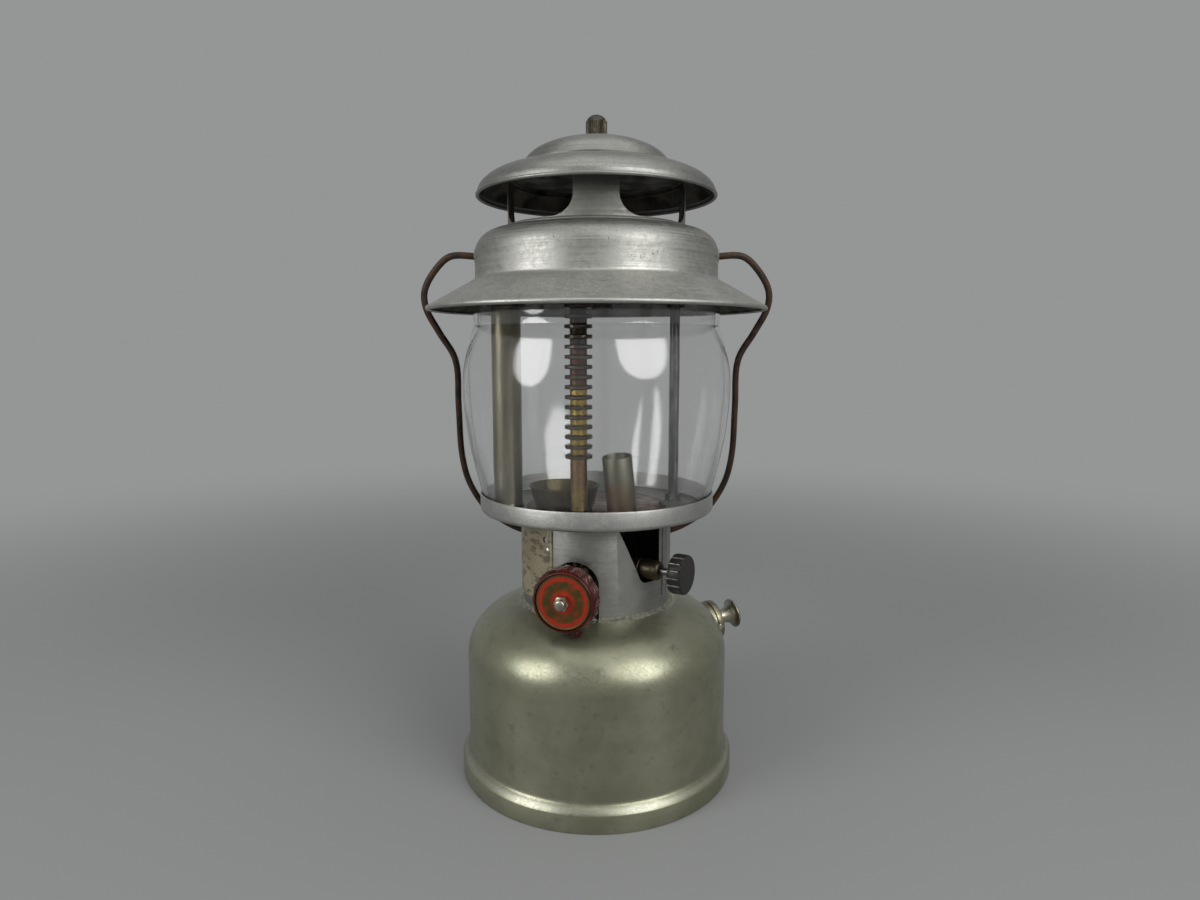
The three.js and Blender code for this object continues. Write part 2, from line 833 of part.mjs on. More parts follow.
function addGenerator() {
  const seat = tank.height + generator.foot + gap;
  const profile = [[generator.boreRadius, seat], [generator.radius, seat]];
  for (let i = 0; i < generator.finCount; i++) {
    const foot = collarTop + generator.finFoot + i * generator.finPitch;
    profile.push(
      [generator.radius, foot],
      [generator.finRadius, foot],
      [generator.finRadius, foot + generator.finThickness],
      [generator.radius, foot + generator.finThickness],
    );
  }
  profile.push([generator.radius, burnerUnderside], [generator.boreRadius, burnerUnderside]);
  addPiece('generator', atGenerator(revolve(profile, sides.small)), 'darkBrass');

  const footNut = prism(hexagon(generator.footNutRadius), burnerFloor, burnerFloor + generator.footNut);
  const bore = bar(generator.radius + gap, burnerFloor - overrun, burnerFloor + 2 * overrun, sides.small);
  addPiece('generator_foot_nut', atGenerator(footNut).subtract(atGenerator(bore)), 'brass');

  const tip = [
    [2 * generator.needleRadius, burnerUnderside],
    [generator.tipRadius, burnerUnderside],
    [generator.tipRadius, burnerUnderside + generator.tipHeight / 2],
    [2 * generator.needleRadius + sheet / 2, burnerUnderside + generator.tipHeight],
    [2 * generator.needleRadius, burnerUnderside + generator.tipHeight],
  ];
  addPiece('gas_tip', atGenerator(revolve(tip, sides.small)), 'brass');

  const blockFoot = tank.height + generator.blockFoot;
  const blockTop = blockFoot + generator.blockHeight;
  const needle = [
    [0, blockFoot],
    [generator.blockRadius, blockFoot],
    [generator.blockRadius, blockTop],
    [generator.needleRadius, blockTop],
    [generator.needleRadius, burnerUnderside + generator.tipHeight / 2],
    [0, burnerUnderside + generator.tipHeight / 2],
  ];
  addPiece('cleaning_needle', atGenerator(revolve(needle, sides.wire)), 'steel');
}

function addFuelValve() {
  const upright = atGenerator(bar(valve.bodyRadius, valveFoot, valveTop));
  const seat = tank.height + generator.foot;
  const arm = solid(bar(valve.armRadius, 0, valve.armReach).applyMatrix4(valveFrame));
  const cutters = [
    atGenerator(bar(valve.boreRadius, valveFoot - overrun, valveTop + overrun, sides.small)),
    atGenerator(bar(generator.radius + gap, seat, valveTop + overrun, sides.small)),
    solid(bar(valve.stemRadius + gap, 0, valve.armReach + overrun, sides.small).applyMatrix4(valveFrame)),
  ];
  addPiece('fuel_valve_body', cutBy(upright.add(arm), cutters), 'brass');
  const pickup = pipe(valve.pickupRadius, valve.pickupRadius - sheet, valve.pickupFoot,
    valveFoot + valve.pickupEntry, sides.small);
  addPiece('fuel_pickup_tube', atGenerator(pickup), 'brass');

  const group = groupAt(valveFrame);
  const nut = solid(prism(hexagon(valve.nutRadius), valve.armReach + gap, valve.nutReach));
  const nutBore = solid(bar(valve.stemRadius + gap, 0, valve.nutReach + overrun, sides.small));
  addPiece('valve_packing_nut', nut.subtract(nutBore), 'brass', group);
  addWheel(group);
}

// The scalloped hand wheel of the fuel valve, with its pointer, face plate, stem and nut
function addWheel(group) {
  const front = wheel.back + wheel.thickness;
  const faceSeat = front - wheel.faceDepth;
  const grip = solid(prism(fluted(wheel.radius, wheel.scallopDepth, wheel.scallops), wheel.back, front));
  const bulk = solid(revolve([
    [0, wheel.back],
    [wheel.radius - 2 * sheet, wheel.back],
    [wheel.radius, wheel.back + 2 * sheet],
    [wheel.radius, front - 2 * sheet],
    [wheel.radius - sheet, front],
    [0, front],
  ]));
  const pointer = solid(block(0, -wheel.pointerReach / 2, wheel.back + wheel.thickness / 2,
    wheel.pointerWidth, wheel.pointerReach, wheel.pointerThickness).rotateZ(degrees(wheel.pointerAngle)));
  const cutters = [
    solid(bar(wheel.faceRadius, faceSeat, front + overrun, sides.large)),
    solid(pipe(wheel.radius - wheel.rimWall, wheel.hubRadius, wheel.back - overrun,
      faceSeat - 2 * sheet, sides.middle)),
    solid(bar(valve.stemRadius + gap, 0, front + overrun, sides.small)),
  ];
  addPiece('valve_wheel', cutBy(grip.intersect(bulk).add(pointer), cutters), 'maroon', group);

  const plateFoot = faceSeat + gap;
  const plateTop = plateFoot + wheel.faceThickness;
  const face = pipe(wheel.faceRadius - gap, valve.stemRadius + gap, plateFoot, plateTop, sides.large);
  addPiece('wheel_face_plate', solid(face), 'redPlate', group);

  const nutFoot = plateTop + gap;
  const acorn = arc(0, nutFoot + wheel.nutHeight, wheel.acornRadius, wheel.acornRadius, 0, 90, 3)
    .map(([r, z]) => [Math.max(0, r), z]);
  acorn[acorn.length - 1][0] = 0;
  const dome = solid(revolve([[0, nutFoot], [wheel.acornRadius, nutFoot], ...acorn], sides.small));
  const hex = solid(prism(hexagon(wheel.nutRadius), nutFoot, nutFoot + wheel.nutHeight));
  const stemEnd = nutFoot + wheel.nutHeight - sheet;
  const bore = solid(bar(valve.stemRadius + gap, 0, stemEnd + gap, sides.small));
  addPiece('wheel_nut', hex.add(dome).subtract(bore), 'nickel', group);

  const stem = bar(valve.stemRadius, 2 * generator.needleRadius, stemEnd, sides.small);
  addPiece('valve_stem', solid(stem), 'steel', group);
}

// Preheating torch: its valve, knob, feed pipe and the tube that leads the flame up the generator

function addTorch() {
  const back = new THREE.Vector3(0, 0, -torch.bodyBack).applyMatrix4(torchFrame);
  const top = tank.height + torch.bodyHeight;
  const upright = solid(bar(torch.bodyRadius, tank.height + gap, top).translate(back.x, back.y, 0));
  const arm = solid(bar(torch.armRadius, -torch.bodyBack, torch.nutStart - gap, sides.small)
    .applyMatrix4(torchFrame));
  const stemBore = solid(bar(torch.stemRadius + gap, -torch.bodyBack, torch.nutStart + overrun, sides.small)
    .applyMatrix4(torchFrame));
  addPiece('torch_valve_body', upright.add(arm).subtract(stemBore), 'darkBrass');

  const group = groupAt(torchFrame);
  const nut = revolve([
    [torch.stemRadius + gap, torch.nutStart],
    [torch.nutRadius, torch.nutStart],
    [torch.nutRadius, torch.nutEnd - 2 * sheet],
    [torch.nutRadius - sheet, torch.nutEnd],
    [torch.stemRadius + gap, torch.nutEnd],
  ], sides.small);
  addPiece('torch_packing_nut', solid(nut), 'darkBrass', group);

  const knobEnd = torch.knobStart + torch.knobThickness;
  const grip = solid(prism(fluted(torch.knobRadius, torch.knobFluteDepth, torch.knobFlutes),
    torch.knobStart, knobEnd));
  const bulk = solid(revolve([
    [0, torch.knobStart],
    [torch.knobRadius - sheet, torch.knobStart],
    [torch.knobRadius, torch.knobStart + sheet],
    [torch.knobRadius, knobEnd - sheet],
    [torch.knobRadius - sheet, knobEnd],
    [0, knobEnd],
  ], sides.middle));
  const knobSeat = knobEnd - 2 * sheet;
  const knobBore = solid(bar(torch.stemRadius + gap, 0, knobSeat, sides.small));
  addPiece('torch_knob', grip.intersect(bulk).subtract(knobBore), 'black', group);
  const stem = bar(torch.stemRadius, -torch.bodyBack + torch.stemRadius + gap, knobSeat - gap, sides.small);
  addPiece('torch_stem', solid(stem), 'steel', group);

  const flameFoot = new THREE.Vector3(torch.footX, torch.footY, burnerFloor);
  const flameTop = new THREE.Vector3(torch.topX, torch.topY, collarTop + torch.tubeHeight);
  const flameAxis = flameTop.clone().sub(flameFoot);
  const length = flameAxis.length();
  const lean = frameAt(flameFoot, flameAxis);
  const inner = torch.tubeRadius - torch.tubeWall;
  const tube = solid(pipe(torch.tubeRadius, inner, -overrun, length).applyMatrix4(lean));
  const below = solid(bar(gallery.radius, collarTop - overrun, burnerFloor + gap));
  addPiece('torch_tube', tube.subtract(below), 'nickel');

  const feed = new THREE.CatmullRomCurve3([
    new THREE.Vector3(back.x, back.y, top + gap),
    new THREE.Vector3(back.x, back.y, top + torch.feedRise / 2),
    new THREE.Vector3(torch.footX, torch.footY, collarTop - torch.feedRise / 2),
    new THREE.Vector3(torch.footX, torch.footY, burnerFloor + torch.feedRise),
  ]);
  addPiece('torch_feed_pipe', solid(wire(feed, torch.feedRadius, sides.small)), 'brass');
}

function addCup() {
  const [foot, top] = [burnerFloor, burnerFloor + cup.height];
  const profile = [
    [0, foot],
    [cup.footRadius, foot],
    [cup.topRadius, top],
    [cup.topRadius - cup.wall, top],
    [cup.footRadius - cup.wall, foot + cup.wall],
    [0, foot + cup.wall],
  ];
  addPiece('spirit_cup', solid(revolve(profile, sides.middle).translate(cup.x, cup.y, 0)), 'darkBrass');
}

// Burner casting with its arms and sockets, and the nozzle under it
function addBurner() {
  const foot = burnerUnderside;
  const top = foot + burner.height;
  const socket = (x, y, radius) => {
    const outer = radius + gap + burner.socketWall;
    return solid(bar(outer, foot - burner.socketDepth + gap, foot + burner.armHeight + sheet)
      .translate(x, y, 0));
  };
  const bore = (x, y, radius, end, count) =>
    solid(bar(radius + gap, foot - overrun, end, count).translate(x, y, 0));
  const arm = (x, y) => {
    const length = Math.hypot(x, y);
    return solid(block(length / 2, 0, foot + burner.armHeight / 2, length, burner.armWidth, burner.armHeight)
      .rotateZ(Math.atan2(y, x)));
  };
  const ends = [
    [airTube.x, airTube.y, airTube.radius, socketTop, sides.middle],
    [supportRod.x, supportRod.y, supportRod.radius, socketTop, sides.small],
    [generator.x, generator.y, generator.radius, burnerUnderside + generator.tipHeight + gap, sides.small],
  ];
  const parts = [solid(bar(burner.hubRadius, foot, top))];
  for (const [x, y, radius] of ends) parts.push(arm(x, y), socket(x, y, radius));
  const bores = ends.map(([x, y, radius, end, count]) => bore(x, y, radius, end, count));
  bores.push(solid(bar(stud.radius + gap, top - burner.studSeat, top + overrun, sides.small)));
  addPiece('burner_body', cutBy(united(parts), bores), 'casting');

  const nozzleFoot = foot - burner.nozzleHeight;
  const nozzle = [
    [burner.nozzleBore, nozzleFoot],
    [burner.nozzleRadius, nozzleFoot],
    [burner.nozzleRadius, foot],
    [0, foot],
    [0, foot - sheet],
    [burner.nozzleBore, foot - sheet],
  ];
  addPiece('burner_nozzle', solid(revolve(nozzle, sides.middle)), 'casting');
  const studFoot = top - burner.studSeat + gap;
  const studTop = domeTop + topNut.height - topNut.crown;
  addPiece('vent_stud', solid(bar(stud.radius, studFoot, studTop, sides.small)), 'steel');
}

// Glass globe, standing in the gallery under the hood

const globeTop = coneTop + (hood.drumRadius - globe.topRadius) - 2 * sheet;

function globeCurve() {
  const points = [
    [globe.footRadius, galleryFloor + gap],
    [globe.flareRadius, collarTop + globe.flareHeight],
    [globe.bowlRadius, collarTop + globe.bowlHeight],
    [globe.bellyRadius, collarTop + globe.bellyHeight],
    [globe.barrelRadius, collarTop + globe.barrelHeight],
    [globe.neckRadius, collarTop + globe.neckHeight],
    [globe.topRadius, globeTop],
  ].map(([r, z]) => new THREE.Vector2(r, z));
  return new THREE.SplineCurve(points);
}

function addGlobe() {
  const curve = globeCurve();
  const outside = curve.getPoints(arcSteps.globe).map((p) => [p.x, p.y]);
  const inside = curve.getPoints(arcSteps.globe - 1).map((p) => [p.x - globe.wall, p.y]).reverse();
  addPiece('globe', solid(revolve([...outside, ...inside])), 'glass');
}

// Hood: brim, cone and drum spun in one piece
function addHood() {
  const round = hood.beadRadius;
  const beadX = hood.brimRadius - round;
  const bend = hood.shoulder;
  const outside = [
    ...arc(beadX, brimLevel, round, round, ...hood.beadOuterAngles, arcSteps.hood),
    [hood.drumRadius, coneTop],
    ...arc(hood.drumRadius - bend, drumTop - bend, bend, bend, 0, 90, arcSteps.hood),
    [hood.mouthRadius, drumTop],
  ];
  const inner = bend - sheet;
  const inside = [
    [hood.mouthRadius, drumTop - sheet],
    ...arc(hood.drumRadius - bend, drumTop - bend, inner, inner, 90, 0, arcSteps.hood),
    [hood.drumRadius - sheet, coneTop - sheet / 2],
    ...arc(beadX, brimLevel, round, round, ...hood.beadInnerAngles, 1),
  ];
  const holes = [1, -1].map((side) =>
    solid(bar(bail.wireRadius + gap, 0, hood.drumRadius + overrun, sides.wire * 2)
      .rotateY((side * Math.PI) / 2).translate(0, 0, pivotLevel)));
  addPiece('vent_hood', cutBy(solid(revolve([...outside, ...inside])), holes), 'aluminium');
}

// Cap: a bulging skirt and a dome above a step, spun in one piece

// The skirt is the outer part of an ellipse, steep at the rim and nearly level at the step
function capSkirt(drop, steps) {
  const width = (cap.rimRadius - cap.stepRadius) / (1 - Math.cos(degrees(cap.skirtTurn)));
  const height = cap.skirtHeight / Math.sin(degrees(cap.skirtTurn));
  return arc(cap.rimRadius - width, rimLevel - drop, width, height, 0, cap.skirtTurn, steps);
}

function capDome(drop, steps) {
  const [start, end] = [cap.stepRadius - sheet, stud.radius + gap];
  const points = [];
  for (let i = 0; i <= steps; i++) {
    const radius = start + (end - start) * (i / steps);
    const share = radius / cap.stepRadius;
    points.push([radius, stepLevel + cap.domeHeight * Math.sqrt(1 - share * share) - drop]);
  }
  return points;
}

function capInside() {
  const edge = [cap.rimRadius - sheet, rimLevel - sheet];
  return [edge, ...capSkirt(sheet, arcSteps.cap - 1).slice(1), ...capDome(sheet, arcSteps.cap)];
}

function capUnderside(radius) {
  const points = capInside();
  const i = points.findIndex(([r]) => r < radius);
  const [[r0, z0], [r1, z1]] = [points[i - 1], points[i]];
  return z0 + ((z1 - z0) * (radius - r0)) / (r1 - r0);
}

function addCap() {
  const outside = [
    [cap.rimRadius, rimLevel - sheet],
    ...capSkirt(0, arcSteps.cap),
    ...capDome(0, arcSteps.cap + 1),
  ];
  addPiece('vent_cap', solid(revolve([...outside, ...capInside().reverse()])), 'aluminium');
}

// Chimney: an inverted cup with four windows, standing on the drum
function addChimney() {
  const foot = drumTop;
  const top = capUnderside(chimney.radius) - gap;
  const [outer, inner] = [chimney.radius, chimney.radius - sheet];
  const profile = [
    [inner, foot],
    [chimney.footRadius, foot],
    [chimney.footRadius, foot + sheet],
    [outer, foot + sheet],
    [outer, top - sheet],
    [outer - sheet, top],
    [stud.radius + gap, top],
    [stud.radius + gap, top - sheet],
    [inner - sheet, top - sheet],
    [inner, top - 2 * sheet],
  ];
  const half = outer * Math.sin(Math.PI / 4 - Math.asin(chimney.legWidth / 2 / outer));
  const [low, high] = [foot + sheet + chimney.windowSill, foot + chimney.windowTop];
  const [corner, head] = [chimney.cornerRadius, chimney.headRadius];
  const window = new THREE.Shape();
  window.absarc(-half + corner, low + corner, corner, Math.PI, 1.5 * Math.PI);
  window.absarc(half - corner, low + corner, corner, 1.5 * Math.PI, 2 * Math.PI);
  window.absarc(half - head, high - head, head, 0, Math.PI / 2);
  window.absarc(-half + head, high - head, head, Math.PI / 2, Math.PI);
  window.closePath();
  const cutters = [45, 135, 225, 315].map((azimuth) => {
    const across = frameAt(new THREE.Vector3(), azimuthDirection(azimuth));
    return solid(prism(window, 0, outer + overrun).applyMatrix4(across));
  });
  addPiece('vent_chimney', cutBy(solid(revolve(profile)), cutters), 'aluminium');
}

// Knurled nut on the end of the stud, which holds the cap, the chimney and the hood down
function addTopNut() {
  const foot = domeTop + gap;
  const top = domeTop + topNut.height;
  const grip = solid(prism(fluted(topNut.radius, topNut.fluteDepth, topNut.flutes), foot, top));
  const bulk = revolve([
    [0, foot],
    [topNut.baseRadius, foot],
    [topNut.radius, foot + sheet],
    [topNut.radius, top - topNut.crown],
    [topNut.radius - topNut.crown / 2, top - topNut.crown / 4],
    [topNut.radius - topNut.crown, top],
    [0, top],
  ], sides.middle);
  const bore = bar(stud.radius + gap, foot - overrun, top - topNut.crown + gap, sides.small);
  addPiece('top_nut', grip.intersect(solid(bulk)).subtract(solid(bore)), 'darkBrass');
}

// Wire bail, pivoted in the drum and hanging at the back against the collar

// Its way round the brim, as [share of the bulge beyond the sides, share of the reach]
const shoulderShares = [[-0.1, 0], [0.5, 0.04], [1, 0.108], [1, 0.165], [0.56, 0.244], [0, 0.335]];
// Its sides and rounded bottom, as [share of the half width, share of the reach]
const loopShares = [
  [1, 0.5], [1, 0.68], [0.958, 0.784], [0.848, 0.881], [0.727, 0.932], [0.57, 0.972], [0.3, 0.994],
];

function addBail() {
  const lean = Math.asin((collar.radius + bail.wireRadius + gap) / bail.reach);
  const group = new THREE.Group();
  group.position.set(0, 0, pivotLevel);
  group.rotation.x = lean;
  lantern.add(group);

  const stub = hood.drumRadius - 2 * sheet - bail.stubHead;
  const bulge = bail.shoulderReach - bail.sideReach;
  // Half of the bail as [sideways, down] points: out of the drum, round the brim, down and under
  const half = [[stub, 0], [hood.drumRadius, 0]];
  for (const [side, down] of shoulderShares) {
    half.push([bail.sideReach + bulge * side, bail.reach * down]);
  }
  for (const [side, down] of loopShares) half.push([bail.sideReach * side, bail.reach * down]);
  const right = half.map(([x, down]) => new THREE.Vector3(x, 0, -down));
  const left = half.map(([x, down]) => new THREE.Vector3(-x, 0, -down)).reverse();
  const curve = new THREE.CatmullRomCurve3([...right, new THREE.Vector3(0, 0, -bail.reach), ...left]);
  const rod = solid(wire(curve, bail.wireRadius, arcSteps.wire));
  const heads = [1, -1].map((side) =>
    solid(bar(bail.stubHeadRadius, stub - bail.stubHead, stub + sheet / 2, sides.small)
      .rotateY((side * Math.PI) / 2)));
  addPiece('bail', united([rod, ...heads]), 'rustyWire', group);
}

addTank();
addFiller();
addPump();
addCollar();
addPlate();
addGallery();
addUprights();
addFuelValve();
addGenerator();
addTorch();
addCup();
addBurner();
addGlobe();
addHood();
addChimney();
addCap();
addTopNut();
addBail();

export default lantern;
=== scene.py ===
# %% [markdown]
# # A kerosene pressure lantern
# This lantern stands on a round fuel tank. A collar on the tank holds the fuel valve and the preheating
# torch. Above it a shallow gallery carries a glass globe, and inside the globe a finned generator, an air
# tube and a rod lead up to the burner. A spun hood, a chimney and a cap cover it, and a wire bail carries
# it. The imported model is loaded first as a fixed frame, and every piece below is made on that frame.

# %% Loading the frame
import json
import math
from types import SimpleNamespace

import bpy
from mathutils import Matrix, Vector

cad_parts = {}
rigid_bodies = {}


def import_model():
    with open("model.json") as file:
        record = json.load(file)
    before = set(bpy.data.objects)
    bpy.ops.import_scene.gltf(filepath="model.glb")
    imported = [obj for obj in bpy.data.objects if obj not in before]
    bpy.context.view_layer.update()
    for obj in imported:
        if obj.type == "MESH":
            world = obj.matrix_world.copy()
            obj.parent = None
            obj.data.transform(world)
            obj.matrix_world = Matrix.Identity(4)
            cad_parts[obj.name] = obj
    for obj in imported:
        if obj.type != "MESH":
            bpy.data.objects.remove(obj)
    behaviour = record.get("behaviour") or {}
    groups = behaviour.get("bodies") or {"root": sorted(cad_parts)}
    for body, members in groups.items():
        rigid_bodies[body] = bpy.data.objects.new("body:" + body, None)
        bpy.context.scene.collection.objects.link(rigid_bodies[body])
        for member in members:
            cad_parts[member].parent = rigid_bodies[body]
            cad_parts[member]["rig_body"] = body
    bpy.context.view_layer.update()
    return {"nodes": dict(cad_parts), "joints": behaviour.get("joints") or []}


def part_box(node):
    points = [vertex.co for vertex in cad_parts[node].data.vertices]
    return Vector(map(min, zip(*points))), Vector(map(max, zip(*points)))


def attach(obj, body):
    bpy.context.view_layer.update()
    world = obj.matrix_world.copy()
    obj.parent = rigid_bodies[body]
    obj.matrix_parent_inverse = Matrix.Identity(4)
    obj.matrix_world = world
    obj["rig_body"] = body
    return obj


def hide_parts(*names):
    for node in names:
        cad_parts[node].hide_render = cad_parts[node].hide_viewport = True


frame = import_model()
MM = 0.001

# %% [markdown]
# ## Measuring the frame
# Almost every piece of the lantern was turned or spun on a lathe, so it has an axis. A place is a matrix
# whose Z runs along that axis. Measuring a node in its place gives where it starts and ends along the axis
# and how wide it is, and so a finer piece can be turned to exactly that size.

# %% Places and sizes
UP = Vector((0, 0, 1))
centre = Matrix()


def place_along(origin, direction):
    """A place in metres whose Z runs along a direction and whose Y stays as upright as it can."""
    z = Vector(direction).normalized()
    x = UP.cross(z).normalized()
    place = Matrix((x, z.cross(x), z)).transposed().to_4x4()
    place.translation = origin
    return place


def upright(node):
    """The upright axis through the middle of a node."""
    low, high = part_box(node)
    return Matrix.Translation(((low.x + high.x) / 2, (low.y + high.y) / 2, 0))


def joint_place(name, origin=None):
    """A joint's axis, through its own point or through another one."""
    joint = next(j for j in frame["joints"] if j["name"] == name)
    return place_along(Vector(joint["pos_m"]) if origin is None else origin, joint["axis"])


def measure(node, place=centre):
    """Where a node starts and ends along an axis, and its widest and narrowest radius, in millimetres."""
    inward = place.inverted()
    points = [(inward @ corner.co) / MM for corner in frame["nodes"][node].data.vertices]
    radii = [math.hypot(p.x, p.y) for p in points]
    return SimpleNamespace(
        low=min(p.z for p in points), high=max(p.z for p in points), radius=max(radii), bore=min(radii))


def extent(node, place=centre):
    """The low end, the high end and the radius of a node."""
    size = measure(node, place)
    return size.low, size.high, size.radius


valve_axis, torch_axis = joint_place("valve_turn"), joint_place("torch_turn")
rod_low, rod_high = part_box("pump_rod")
pump_axis = joint_place("pump_slide", (rod_low + rod_high) / 2)
print("tank:", measure("tank_shell"))
print("pump knob:", measure("pump_knob", pump_axis))

# %% [markdown]
# ## Tools of the workshop
# A lathe is one vertex that is extruded along the outline of the piece and then spun round the axis. The
# outline comes in millimetres as radius and height. The outline of a sheet runs along one side and back
# along the other, so that the wall has its real thickness.

# %% The lathe
def rest():
    """Leaves edit mode, with nothing selected."""
    if bpy.context.mode != "OBJECT":
        bpy.ops.object.mode_set(mode="OBJECT")
    bpy.ops.object.select_all(action="DESELECT")


def take(piece):
    rest()
    piece.select_set(True)
    bpy.context.view_layer.objects.active = piece
    return piece


def drawn(name, points):
    """A new piece that is one line through points in millimetres, selected in edit mode."""
    rest()
    bpy.ops.mesh.primitive_plane_add(size=MM, location=Vector(points[0]) * MM)
    piece = bpy.context.object
    piece.name = piece.data.name = name
    bpy.ops.object.mode_set(mode="EDIT")
    bpy.ops.mesh.merge(type="CENTER")
    for here, there in zip(points, points[1:]):
        step = (Vector(there) - Vector(here)) * MM
        bpy.ops.mesh.extrude_region_move(TRANSFORM_OT_translate={"value": step})
    bpy.ops.mesh.select_all(action="SELECT")
    return piece


def settled(piece, place):
    """Merges doubles, turns the faces outwards and moves the piece to its place."""
    bpy.ops.mesh.select_all(action="SELECT")
    bpy.ops.mesh.remove_doubles(threshold=0.004 * MM)
    bpy.ops.mesh.normals_make_consistent(inside=False)
    bpy.ops.object.mode_set(mode="OBJECT")
    bpy.ops.object.transform_apply(location=True, rotation=True, scale=True)
    piece.matrix_world = place
    bpy.ops.object.transform_apply(location=True, rotation=True, scale=True)
    return piece


def turned(name, outline, place=centre, steps=96):
    """A piece turned from an outline of (radius, height) points."""
    points = [(r, 0, z) for r, z in outline]
    if points[0][0] > 0 or points[-1][0] > 0:
        points.append(points[0])
    piece = drawn(name, points)
    bpy.ops.mesh.spin(steps=steps, angle=2 * math.pi, center=(0, 0, 0), axis=(0, 0, 1))
    return settled(piece, place)


def arc(middle, width, height, start, end, steps):
    """Points on part of an ellipse, from one angle to another in degrees."""
    turns = [math.radians(start + (end - start) * i / steps) for i in range(steps + 1)]
    return [(middle[0] + width * math.cos(t), middle[1] + height * math.sin(t)) for t in turns]


def lifted(base, outline):
    """Outline points whose heights count from a base."""
    return [(r, base + z) for r, z in outline]


def profile(low, high, wide, foot, head=(), bore=0.0):
    """An outline whose foot points count up from the low end and whose head points count down from the
    high end. A radius above 0 counts from the axis, and any other counts in from the width."""
    points = [(r if r > 0 else wide + r, low + up) for r, up in foot]
    points += [(r if r > 0 else wide + r, high - down) for r, down in head]
    return [(bore, points[0][1]), *points, (bore, points[-1][1])]


def turned_like(node, foot, head, place=centre, steps=96, bore=0.0, wide=None):
    """A turned piece that is as long and as wide as its node, and is named after it."""
    low, high, radius = extent(node, place)
    return turned(f"{node}_look", profile(low, high, wide or radius, foot, head, bore), place, steps)


def straight(node, place, bore=0.0):
    """A rod, or with a bore a ring, that is as long and as wide as its node."""
    return turned_like(node, [(0, 0)], [(0, 0)], place, 64 if bore else 32, bore)


print("the lathe is ready")

# %% [markdown]
# Plates and cutters are drawn as closed outlines and extruded, and nuts are turned and then cut to their
# flats. Holes are cut with a Boolean modifier, edges are eased with a Bevel modifier, and both are applied
# so that each piece is a plain mesh.

# %% Plates, cuts and edges
def plate(outline, low, high, place):
    """A flat outline of (x, y) points, extruded from one height to another."""
    points = [(x, y, low) for x, y in outline]
    piece = drawn("cutter", [*points, points[0]])
    bpy.ops.mesh.remove_doubles(threshold=0.004 * MM)
    bpy.ops.mesh.select_all(action="SELECT")
    bpy.ops.mesh.edge_face_add()
    bpy.ops.mesh.extrude_region_move(TRANSFORM_OT_translate={"value": (0, 0, (high - low) * MM)})
    return settled(piece, place)


def modified(piece, kind, **settings):
    """Adds a modifier with these settings and applies it."""
    take(piece)
    bpy.ops.object.modifier_add(type=kind)
    modifier = piece.modifiers[-1]
    for key, value in settings.items():
        setattr(modifier, key, value)
    bpy.ops.object.modifier_apply(modifier=modifier.name)
    return piece


def cut(piece, *cutters, operation="DIFFERENCE"):
    """Applies cutters to a piece, one after the other."""
    for cutter in cutters:
        modified(piece, "BOOLEAN", object=cutter, operation=operation, solver="EXACT")
        bpy.data.objects.remove(cutter)
    return piece


def grown(piece, *others):
    """Melts other pieces into a piece."""
    return cut(piece, *others, operation="UNION")


def eased(piece, width, segments=2, angle=30):
    """Rounds the sharp edges by a width in millimetres."""
    return modified(piece, "BEVEL", width=width * MM, segments=segments, limit_method="ANGLE",
                    angle_limit=math.radians(angle))


def rod(radius, low, high, place=centre, steps=32):
    return turned("cutter", [(0, low), (radius, low), (radius, high), (0, high)], place, steps)


def tube(name, outer, inner, low, high, place=centre, steps=64):
    return turned(name, [(inner, low), (outer, low), (outer, high), (inner, high)], place, steps)


def polar(reach, turn):
    return reach * math.cos(turn), reach * math.sin(turn)


def circle(radius, count):
    return [polar(radius, 2 * math.pi * i / count) for i in range(count)]


def waved(radius, depth, count, steps=6):
    """A circle whose edge waves in and out, for grips."""
    turns = [2 * math.pi * i / (count * steps) for i in range(count * steps)]
    return [polar(radius - depth * (1 - math.cos(count * turn)) / 2, turn) for turn in turns]


def grooved(radius, depth, count):
    """A circle with V grooves, each as wide as a share of its pitch."""
    pitch, share = 2 * math.pi / count, 0.3
    corners = ((-0.5 * share, radius), (0, radius - depth), (0.5 * share, radius), (0.5, radius))
    return [polar(reach, (i + offset) * pitch) for i in range(count) for offset, reach in corners]


def oblong(half, low, high):
    return [(-half, low), (half, low), (half, high), (-half, high)]


def shaped(piece, outline, node, place=centre):
    """Cuts a piece to an outline that is seen along its axis, over the whole length of its node."""
    low, high, _ = extent(node, place)
    return cut(piece, plate(outline, low - 1, high + 1, place), operation="INTERSECT")


def hex_nut(node, place, bore):
    """A hexagon nut with chamfered corners."""
    low, high, wide = extent(node, place)
    nut = turned_like(node, [(0.9 * wide, 0), (0, 0.4)], [(0, 0.4), (0.9 * wide, 0)], place, 48)
    return cut(shaped(nut, circle(wide, 6), node, place), rod(bore, low - 1, high + 1, place))


def slotted_screw(name, place, low, high, radius, head):
    """A pan head screw along its place's axis, with a slot across the head."""
    slot, shank = 0.5, radius * 0.6
    screw = turned(name, [(0, low), (shank, low), (shank, high - head), (radius, high - head),
                          (radius, high - head * 0.4), (radius * 0.75, high), (0, high)], place, 24)
    return cut(screw, plate(oblong(radius * 2, -slot / 2, slot / 2), high - head * 0.5, high + 1, place))


print("the bench is ready")

# %% [markdown]
# ## Tools of the finisher
# Each finish is a Principled shader whose colour, roughness and bump come from noise on Object
# coordinates. All pieces keep their object at the origin, so one pattern runs on over neighbouring pieces.
# The helpers below add a node or a few, so that a finish reads as a short recipe. A value is the output of
# a node, and the nodes that take it are added to the same tree.

# %% Building finishes
def finish(name, color, metallic, roughness):
    material = bpy.data.materials.new(name)
    material.use_nodes = True
    return tuned(material, {"Base Color": (*color, 1), "Metallic": metallic, "Roughness": roughness})


